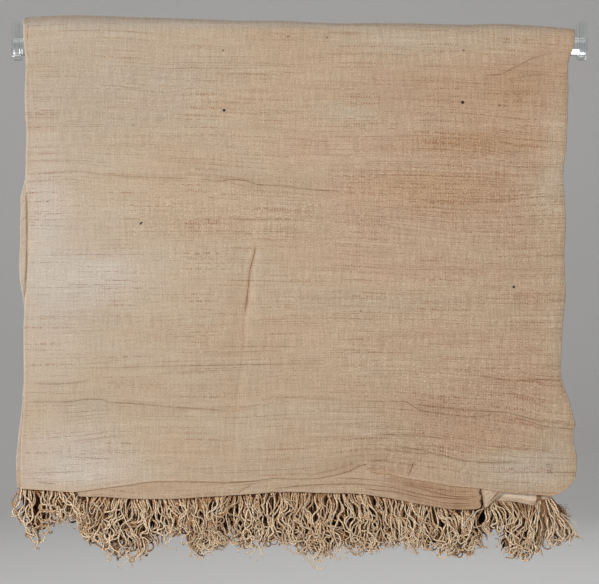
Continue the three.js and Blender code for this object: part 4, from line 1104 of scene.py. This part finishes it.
def tube_mesh(name, paths, radius, sides, seeds, shade, pitch=3.6):
    """All the cords in one mesh. paths (n, k, 3) in layout mm, radius (n, k) in mm."""
    n, k, _ = paths.shape
    p = np.stack([paths[..., 0] + LX, paths[..., 1], LZ - paths[..., 2]], -1)
    tangent = np.gradient(p, axis=1)
    tangent /= np.maximum(np.linalg.norm(tangent, axis=2, keepdims=True), 1e-9)
    ref = np.tile(np.array([0.0, 1.0, 0.0]), (n, 1))
    side_v = np.zeros_like(p)
    cur = np.cross(tangent[:, 0], ref)
    cur /= np.maximum(np.linalg.norm(cur, axis=1, keepdims=True), 1e-9)
    for q in range(k):
        cur = cur - tangent[:, q] * (cur * tangent[:, q]).sum(1, keepdims=True)
        cur /= np.maximum(np.linalg.norm(cur, axis=1, keepdims=True), 1e-9)
        side_v[:, q] = cur
    other = np.cross(tangent, side_v)
    ang = np.arange(sides) * 2 * math.pi / sides
    ring = (side_v[:, :, None, :] * np.cos(ang)[None, None, :, None] + other[:, :, None, :] * np.sin(ang)[None, None, :, None])
    co = (p[:, :, None, :] + ring * radius[:, :, None, None]).reshape(-1, 3) / 1000.0
    base = (np.arange(n) * k * sides)[:, None, None]
    q_id = (np.arange(k - 1) * sides)[None, :, None]
    s_a, s_b = np.arange(sides)[None, None, :], ((np.arange(sides) + 1) % sides)[None, None, :]
    quads = np.stack([base + q_id + s_a, base + q_id + s_b, base + q_id + sides + s_b, base + q_id + sides + s_a], -1).reshape(-1, 4)
    caps0 = (np.arange(n) * k * sides)[:, None] + np.arange(sides)[None, ::-1]
    caps1 = (np.arange(n) * k * sides + (k - 1) * sides)[:, None] + np.arange(sides)[None, :]
    nq, nc = len(quads), 2 * n
    total = nq * 4 + nc * sides
    me_ = bpy.data.meshes.new(name)
    me_.vertices.add(len(co))
    me_.vertices.foreach_set("co", co.astype(np.float32).ravel())
    me_.loops.add(total)
    me_.loops.foreach_set("vertex_index", np.concatenate([quads.ravel(), caps0.ravel(), caps1.ravel()]).astype(np.int32))
    me_.polygons.add(nq + nc)
    starts = np.concatenate([np.arange(nq) * 4, nq * 4 + np.arange(nc) * sides])
    me_.polygons.foreach_set("loop_start", starts.astype(np.int32))
    me_.update(calc_edges=True)
    me_.polygons.foreach_set("use_smooth", np.ones(nq + nc, bool))
    run = np.concatenate([np.zeros((n, 1)), np.cumsum(np.linalg.norm(np.diff(p, axis=1), axis=2), axis=1)], 1)
    ua = np.broadcast_to((np.arange(sides) / sides)[None, None, :], (n, k - 1, sides))
    ub = ua + 1 / sides
    va = np.broadcast_to(run[:, :-1, None] / pitch + seeds[:, None, None], ua.shape)
    vb = np.broadcast_to(run[:, 1:, None] / pitch + seeds[:, None, None], ua.shape)
    uvq = np.stack([np.stack([ua, va], -1), np.stack([ub, va], -1), np.stack([ub, vb], -1), np.stack([ua, vb], -1)], 3).reshape(-1, 2)
    uvs = np.concatenate([uvq, np.zeros((nc * sides, 2))])
    me_.uv_layers.new(name="twist").data.foreach_set("uv", uvs.astype(np.float32).ravel())
    t = np.linspace(0, 1, k)
    kind = np.stack([
        np.broadcast_to(seeds[:, None, None], (n, k, sides)),
        np.broadcast_to(t[None, :, None], (n, k, sides)),
        np.broadcast_to((shade if np.ndim(shade) == 2 else shade[:, None])[:, :, None], (n, k, sides)),
    ], -1)
    attribute(me_, "cord", kind.reshape(-1, 3), "FLOAT_VECTOR")
    # open drives painted shade on the sides of a cord that face into the tangle
    attribute(me_, "open", np.abs(ring[..., 1]).reshape(-1))   # how far each side of a cord looks out of the tangle
    me_.validate()
    ob = bpy.data.objects.new(name, me_)
    bpy.context.scene.collection.objects.link(ob)
    return ob


def cord_material(name, pale, mid, deep, ply=1.0, side_shade=0.24, sheen=0.04):
    m = Nodes(name)
    seed, along, shade = m.split(m.attr("cord").outputs["Vector"])
    tw = m.node("ShaderNodeUVMap", uv_map="twist")
    tu, tv, _ = m.split(tw.outputs[0])
    wave = m.math("SINE", m.math("MULTIPLY", m.math("ADD", m.math("MULTIPLY", tu, 2.0), tv), 2 * math.pi))
    place = m.node("ShaderNodeTexCoord").outputs["Object"]
    blotch = m.noise(place, scale=95.0, detail=3.0, rough=0.6)
    fibre = m.noise(m.join(m.math("MULTIPLY", tu, 9.0), m.math("MULTIPLY", tv, 1.4), m.math("MULTIPLY", seed, 17.0)), detail=2.0)
    pick = m.node("ShaderNodeTexWhiteNoise", {"W": m.math("MULTIPLY", seed, 37.0)}, noise_dimensions="1D").outputs[0]
    mixv = m.math("ADD", m.math("MULTIPLY_ADD", pick, 0.55, -0.10), m.math("MULTIPLY", blotch, 0.75))
    # painted shade: cords are painted darker near their roots, under the band's rim
    mixv = m.math("ADD", mixv, m.range(along, 0.0, 0.35, -0.28, 0.05))
    mixv = m.math("ADD", mixv, shade)
    low = m.mix(m.range(mixv, 0.0, 0.42, 0.0, 1.0, "LINEAR"), deep, mid)
    colour = m.mix(m.range(mixv, 0.42, 0.95, 0.0, 1.0, "LINEAR"), low, pale)
    # painted shade: darker in the grooves of the twist and on the sides of a cord that face into the tangle
    groove_shade = m.range(wave, -1.0, 0.1, 1.0 - 0.55 * ply, 1.0)
    g = m.math("MULTIPLY", groove_shade, m.math("MULTIPLY_ADD", fibre, 0.36, 0.82))
    g = m.math("MULTIPLY", g, m.range(m.attr("open").outputs["Fac"], 0.0, 0.85, side_shade, 1.0, "LINEAR"))
    colour = m.mix(1.0, colour, m.node("ShaderNodeCombineColor", {0: g, 1: g, 2: g}).outputs[0], "MULTIPLY")
    m.put(m.shader.inputs["Base Color"], colour)
    h = m.math("MULTIPLY_ADD", fibre, 0.35, m.math("MULTIPLY", wave, 0.30 * ply))
    bump = m.node("ShaderNodeBump", {"Strength": 0.7, "Distance": 0.0006, "Height": h})
    m.put(m.shader.inputs["Normal"], bump.outputs[0])
    m.put(m.shader.inputs["Roughness"], m.math("MULTIPLY_ADD", fibre, 0.2, 0.78))
    m.shader.inputs["Sheen Weight"].default_value = sheen
    m.shader.inputs["Sheen Roughness"].default_value = 0.5
    m.shader.inputs["Specular IOR Level"].default_value = 0.18
    return m.mat


PALE, MID, DEEP = linear(252, 225, 190), linear(197, 151, 107), linear(80, 44, 23)
cord_mat = cord_material("fringe_cord", PALE, MID, DEEP)
# painted shade: near-black cords that stand for the deep shade inside the tangle
cord_mat_painted_shade = cord_material("fringe_cord_painted_shade", linear(66, 42, 25), linear(44, 26, 15), linear(26, 15, 9), sheen=0.0)
fray_mat = cord_material("fringe_fray", linear(230, 214, 192), linear(208, 180, 148), linear(132, 94, 62), 0.2, 0.5)
frizz_mat = cord_material("fringe_frizz", linear(176, 132, 90), linear(128, 86, 52), linear(70, 42, 24), 0.2, 0.6)


def roots_for(rng, n, low=20.6, high=552.6):
    x = low + (np.arange(n) + 0.5 + rng.uniform(-0.32, 0.32, n)) * (high - low) / n
    return np.clip(x, low, high)


fringe_pieces = []
layers = []   # name, paths, radii, sides, seeds, tones, material


def make_cords(name, seed, n, k, sides, depth, spread, length, thick, mat, wild, shade=(0, 0), taper=0.6, span_=(20.6, 552.6), lock_width=9.0, sway=1.0, reach=(3.5, 8.5), hooked=0.4):
    rng = np.random.default_rng(SEED + seed)
    roots = roots_for(rng, n, *span_)
    if mat is not cord_mat_painted_shade:   # none leaves the tear at the band's end
        roots = np.where((roots > 480.2) & (roots < 485.8), roots + 6.2, roots)
    share = rng.uniform(0, 1, n)
    depths = depth[0] + (depth[1] - depth[0]) * share
    lengths = rng.uniform(*length, n)
    lengths = np.where(rng.uniform(0, 1, n) < 0.2, lengths * 0.85, lengths)
    paths, lock = cord_paths(rng, roots, k, depths, spread, lengths, rng.uniform(*wild, n) ** 2, lock_width, sway, reach, hooked)
    t = np.linspace(0, 1, k)[None, :]
    r = rng.uniform(*thick, n)[:, None] * (1 - (1 - taper) * smooth((t - 0.55) / 0.45))
    r = r * (1 + 0.10 * np.sin(t * 41 + rng.uniform(0, 6, (n, 1))))
    r = np.where(t > 0.999, r * 0.35, r)
    tones = lerp(shade[0], shade[1], share) + rng.uniform(-0.10, 0.10, n) + 0.07 * lock[:, 0] + 0.2 * smooth((roots - 533) / 6)
    layers.append((name, paths, r, sides, rng.uniform(0, 1, n), tones[:, None] + 0 * t, mat))
    return paths, roots


# depth runs from the back of a layer to its front, and shade with it: cords further back are painted darker, painted
# shade from the cords in front
make_cords("fringe_inner", 101, 250, 30, 5, (-3.0, -5.0), 2.2, (0.84, 1.0), (0.75, 0.98), cord_mat, (0.5, 1.1), (-0.10, 0.15), lock_width=10.0)
# painted shade: a sheet of near-black cords between the layers, so that the gaps between the cords in front look deep
# and dark
make_cords("fringe_painted_shade_core", 100, 460, 12, 4, (-6.0, -7.5), 0.7, (0.78, 0.90), (1.2, 1.7), cord_mat_painted_shade, (0.2, 0.5), span_=(22.5, 549.0), lock_width=30.0, sway=0.1, hooked=0.0)
mid_paths, _ = make_cords("fringe_middle", 102, 300, 42, 6, (-8.6, -11.0), 2.6, (0.84, 1.0), (0.86, 1.08), cord_mat, (0.5, 1.3), (-0.30, -0.05), 0.75, lock_width=11.0, hooked=0.3)
low_paths, _ = make_cords("fringe_lower", 110, 170, 46, 6, (-11.4, -12.8), 2.8, (0.88, 1.05), (0.84, 1.04), cord_mat, (0.5, 1.3), (0.00, 0.16), 0.75, lock_width=12.0, hooked=0.35)
make_cords("fringe_between", 111, 150, 44, 6, (-12.4, -13.6), 2.4, (0.80, 0.98), (0.84, 1.04), cord_mat, (0.4, 1.1), (0.10, 0.30), 0.75, lock_width=12.0, hooked=0.3)
front_paths, _ = make_cords("fringe_outer", 103, 215, 52, 6, (-13.6, -15.0), 2.8, (0.88, 1.05), (0.84, 1.03), cord_mat, (0.4, 1.2), (0.30, 0.58), 0.75, lock_width=13.0, hooked=0.35)
over_paths, _ = make_cords("fringe_over", 107, 105, 54, 6, (-15.6, -17.0), 3.4, (0.80, 1.06), (0.70, 0.92), cord_mat, (0.6, 1.5), (0.20, 0.48), 0.7, lock_width=11.0, reach=(5.0, 12.0), hooked=0.5)
top_paths, _ = make_cords("fringe_stray", 104, 60, 52, 5, (-16.5, -18.0), 4.5, (0.60, 1.07), (0.46, 0.70), fray_mat, (1.0, 1.7), (-0.1, 0.12), lock_width=4.0, reach=(5.0, 13.0), hooked=0.6)
tail_paths, _ = make_cords("fringe_tail", 106, 52, 38, 6, (-9.0, -15.0), 1.8, (0.80, 1.04), (0.74, 1.05), fray_mat, (0.9, 1.5), (-0.34, 0.10), 0.6, (541.8, 552.6), 3.0, reach=(2.0, 5.5), hooked=0.2)

# Single threads that stand out of the tangle: radius, depth, points along it
LOOSE = [
    (0.62, -17.0, [(208, 530), (213, 536), (214.6, 542), (213.8, 548), (209.5, 551.6), (204.5, 551)]),
    (0.85, -16.4, [(202, 530), (206.5, 536), (209.6, 542), (208, 547.4), (203, 548), (199.6, 544)]),
    (0.90, -17.0, [(283.4, 528), (282.2, 538), (284.6, 546), (290, 551.6), (296.6, 554.4), (301, 551.4), (306, 546.6)]),
    (0.85, -16.2, [(266, 538), (262.4, 546), (261, 553), (258, 558), (254.4, 561.6)]),
    (0.75, -17.2, [(256, 540), (259.6, 548), (263, 555), (265.4, 558)]),
    (0.70, -16.6, [(302, 548), (304.6, 556), (308.6, 562), (314.6, 568.6)]),
    (0.70, -17.4, [(306, 549), (308.6, 556), (311.6, 562), (316, 567)]),
    (0.80, -17.0, [(322, 546), (319, 553), (313.6, 559.4), (316, 565), (320, 569.6), (324, 567), (323.4, 561), (318.4, 556.4)]),
    (0.65, -16.8, [(342, 544), (345, 551), (345.6, 556), (344.4, 560)]),
    (0.60, -16.6, [(146, 528), (151.6, 537), (157.6, 543.6), (166, 547.8), (176.6, 549.6)]),
    (0.55, -17.0, [(196, 536), (192, 541.4), (186, 543.6), (180.6, 543)]),
    (0.72, -15.4, [(549, 502), (555.6, 509), (563, 516.6), (570.6, 524.4), (577, 532.4), (583, 540.4)]),
    (0.50, -15.0, [(551, 503), (558, 511), (566, 516.6), (573, 521), (577.6, 527)]),
    (0.60, -16.8, [(416, 536), (420, 544), (417, 550.6), (411, 552), (407.6, 547.6)]),
    (0.62, -17.2, [(474, 536), (478.6, 543), (483.4, 547.4), (488.6, 546)]),
    (0.62, -16.4, [(372, 534), (377.6, 541.4), (379.4, 547), (383.6, 550.4)]),
    (0.66, -16.8, [(32, 528), (37, 537), (36.4, 545), (33.6, 550)]),
]
loose_k = 26
loose = np.zeros((len(LOOSE), loose_k, 3))
for q, (_, depth_, points) in enumerate(LOOSE):
    line_ = spline(np.array(points, float)[None], np.linspace(0, 1, loose_k)[None])[0]
    loose[q] = np.stack([line_[:, 0], depth_ + 0.5 * np.sin(np.linspace(0, 5, loose_k) + q), line_[:, 1]], 1)
rng = np.random.default_rng(SEED + 108)
loose_r = np.array([row[0] for row in LOOSE])[:, None] * np.linspace(1.0, 0.62, loose_k)[None, :]
layers.append(("fringe_loose", loose, loose_r, 6, rng.uniform(0, 1, len(LOOSE)), rng.uniform(0.0, 0.2, (len(LOOSE), 1)) + 0 * loose_r, fray_mat))

# Painted shade between the layers: each is painted darker where others hang close in front of it
hidden = np.zeros((140, 620))
for name, paths, r, sides, seeds, tones, mat in sorted(layers, key=lambda row: row[1][..., 1].mean()):
    col = np.clip(np.round(paths[..., 0]).astype(int) + 10, 0, 619)
    row_ = np.clip(np.round(paths[..., 2]).astype(int) - 460, 0, 139)
    soft = hidden
    for _ in range(3):
        for axis in (0, 1):
            soft = sum(np.roll(soft, q, axis) for q in (-3, -2, -1, 0, 1, 2, 3)) / 7
    if name != "fringe_inner":   # the rearmost layer is what shows from behind
        free = smooth((np.linspace(0, 1, paths.shape[1]) - 0.70) / 0.24) * (name != "fringe_painted_shade_core")   # tips that hang free stay pale
        tones = tones - 1.15 * (1 - np.exp(-0.75 * soft[row_, col])) * (1 - 0.75 * free)
    ob = tube_mesh(name, paths, r, sides, seeds, shade=tones)
    ob.data.materials.append(mat)
    fringe_pieces.append(ob)
    run = np.hypot(np.gradient(paths[..., 0], axis=1), np.gradient(paths[..., 2], axis=1))
    hidden = hidden.copy()
    np.add.at(hidden, (row_, col), 2 * r * run)


def make_frizz(name, seed, n, k):
    """Fine brown curls beside the fringe's right end."""
    rng = np.random.default_rng(SEED + seed)
    s = rng.uniform(0, 1, n)
    size = rng.uniform(10, 23, n) * (1.1 - 0.45 * s)
    run = np.linspace(0, 1, k)[None, :] * size[:, None]
    ang = rng.uniform(-0.05, 0.75, n)[:, None] + 1.15 * np.sin(run / rng.uniform(1.1, 2.4, (n, 1)) + rng.uniform(0, 6.3, (n, 1)))
    step = (size / (k - 1))[:, None]
    path = np.zeros((n, k, 3))
    path[:, :, 0] = lerp(551.0, 563.0, s)[:, None] + np.cumsum(np.cos(ang) * step, 1)
    path[:, :, 2] = lerp(505.0, 519.0, s)[:, None] + np.cumsum(np.sin(ang) * step, 1)
    path[:, :, 1] = rng.uniform(-13.0, -9.0, n)[:, None] + 1.2 * np.sin(run / 4.0 + rng.uniform(0, 6.3, (n, 1)))
    r = rng.uniform(0.24, 0.42, n)[:, None] * (1 - 0.5 * np.linspace(0, 1, k)[None, :])
    ob = tube_mesh(name, path, r, 4, rng.uniform(0, 1, n), shade=rng.uniform(-0.2, 0.3, n))
    ob.data.materials.append(frizz_mat)
    fringe_pieces.append(ob)


make_frizz("fringe_frizz", 109, 46, 22)


def make_frays(name, seed, sources, per, k, length, radius):
    """Loose fibres from the ends of the cords."""
    rng = np.random.default_rng(SEED + seed)
    ends = np.concatenate([s[:, -1] for s in sources])
    before = np.concatenate([s[:, -4] for s in sources])
    ends, before = np.repeat(ends, per, 0), np.repeat(before, per, 0)
    n = len(ends)
    head = ends - before
    head /= np.maximum(np.linalg.norm(head, axis=1, keepdims=True), 1e-9)
    head = head + rng.normal(0, 0.45, head.shape)
    head[:, 1] *= 0.5
    head /= np.maximum(np.linalg.norm(head, axis=1, keepdims=True), 1e-9)
    size = rng.uniform(*length, n)
    bend = rng.normal(0, 2.2, (n, 1)) / size[:, None]
    wob = rng.normal(0, 1.3, (n, 1))
    heading = np.arctan2(head[:, 2], head[:, 0])[:, None]
    step = (size / (k - 1))[:, None]
    s = np.linspace(0, 1, k)[None, :] * size[:, None]
    ang = heading + bend * s + wob * np.sin(s * rng.uniform(0.5, 1.1, (n, 1)) + rng.uniform(0, 6, (n, 1))) * 0.5
    dx, dz = np.cos(ang) * step, np.sin(ang) * step
    path = np.zeros((n, k, 3))
    start = ends - head * rng.uniform(0.5, 4.0, (n, 1))
    path[:, :, 0] = start[:, 0:1] + np.cumsum(dx, 1) - dx[:, :1]
    path[:, :, 2] = start[:, 2:3] + np.cumsum(dz, 1) - dz[:, :1]
    path[:, :, 1] = start[:, 1:2] + head[:, 1:2] * s * 0.6
    t = np.linspace(0, 1, k)[None, :]
    r = rng.uniform(*radius, n)[:, None] * (1 - 0.6 * t)
    ob = tube_mesh(name, path, np.broadcast_to(r, (n, k)), 3, rng.uniform(0, 1, n), shade=rng.uniform(-0.1, 0.15, n))
    ob.data.materials.append(fray_mat)
    fringe_pieces.append(ob)


make_frays("fringe_ends", 105, [mid_paths, low_paths, front_paths, over_paths, top_paths, tail_paths, loose], 1, 10, (2.5, 6.5), (0.22, 0.40))

# ---------------------------------------------------------------- clear rod and brackets
def clear_material():
    m = Nodes("clear_rod_plastic")
    place = m.node("ShaderNodeTexCoord").outputs["Object"]
    haze = m.noise(place, scale=60.0, detail=4.0)
    m.put(m.shader.inputs["Base Color"], m.mix(m.range(haze, 0.3, 0.7, 0.0, 1.0), (0.93, 0.96, 0.97, 1.0), (0.97, 0.99, 0.99, 1.0)))
    m.put(m.shader.inputs["Roughness"], m.range(haze, 0.3, 0.75, 0.02, 0.09))
    m.shader.inputs["Transmission Weight"].default_value = 1.0
    m.shader.inputs["IOR"].default_value = 1.49
    m.shader.inputs["Specular IOR Level"].default_value = 0.5
    return m.mat


plastic = clear_material()
for node in ("rod", "bracket_left", "bracket_right"):
    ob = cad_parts[node]
    ob.data.materials.clear()
    ob.data.materials.append(plastic)

# ---------------------------------------------------------------- riding and naming
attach(cloth, "root")
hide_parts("cloth")
for piece in fringe_pieces:
    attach(piece, "root")
    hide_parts("fringe")

# ---------------------------------------------------------------- stage, light, camera
def stage_material():
    m = Nodes("studio_paper")
    place = m.node("ShaderNodeTexCoord").outputs["Object"]
    n1 = m.noise(place, scale=3.0, detail=2.0)
    m.put(m.shader.inputs["Base Color"], m.mix(n1, (0.80, 0.80, 0.80, 1.0), (0.83, 0.83, 0.83, 1.0)))
    m.shader.inputs["Roughness"].default_value = 0.95
    m.shader.inputs["Specular IOR Level"].default_value = 0.1
    return m.mat


def backdrop():
    """A pale floor that sweeps up into a pale wall behind."""
    floor_z, wall_y, r = -0.85, 4.6, 1.2
    prof = [(-7.0, floor_z), (wall_y - r, floor_z)]
    for i in range(1, 17):
        a = math.pi / 2 * i / 16
        prof.append((wall_y - r + r * math.sin(a), floor_z + r - r * math.cos(a)))
    prof.append((wall_y, 6.0))
    xs = (-8.0, 8.0)
    co = [(x, y, z) for y, z in prof for x in xs]
    polys = [(2 * i, 2 * i + 1, 2 * i + 3, 2 * i + 2) for i in range(len(prof) - 1)]
    ob = new_mesh("studio_sweep", co, polys)
    ob.data.materials.append(stage_material())
    return ob


floor = backdrop()


def area(name, place, target, size, power, colour):
    data = bpy.data.lights.new(name, "AREA")
    data.shape, data.size, data.size_y, data.energy, data.color = "RECTANGLE", size[0], size[1], power, colour
    ob = bpy.data.objects.new(name, data)
    ob.location = place
    ob.rotation_mode = "QUATERNION"
    ob.rotation_quaternion = (Vector(target) - Vector(place)).to_track_quat("-Z", "Y")
    bpy.context.scene.collection.objects.link(ob)


centre = (0.0, 0.0, -0.24)
area("key", (-1.8, -2.1, 1.2), centre, (0.6, 0.6), 79, (1.0, 0.985, 0.965))
area("back", (0.6, 2.6, 1.5), centre, (1.6, 1.6), 22, (1.0, 1.0, 1.0))
area("fill", (1.9, -2.3, -0.2), centre, (1.4, 1.4), 20, (0.98, 0.99, 1.0))
world = bpy.data.worlds.new("studio")
world.use_nodes = True
world.node_tree.nodes["Background"].inputs[0].default_value = (0.90, 0.89, 0.875, 1.0)
world.node_tree.nodes["Background"].inputs[1].default_value = 0.22
bpy.context.scene.world = world

camera_data = bpy.data.cameras.new("camera")
camera = bpy.data.objects.new("camera", camera_data)
camera_data.sensor_width = 36.0
DISTANCE = 2.0
camera_data.lens = 36.0 * DISTANCE / 0.599
camera_data.clip_start, camera_data.clip_end = 0.05, 30.0
camera.location = (0.0, -0.0185 - DISTANCE, -0.247)
camera.rotation_euler = (math.pi / 2, 0.0, 0.0)
bpy.context.scene.collection.objects.link(camera)
bpy.context.scene.camera = camera
bpy.context.scene.view_settings.view_transform = "Standard"
bpy.context.scene.view_settings.look = "None"
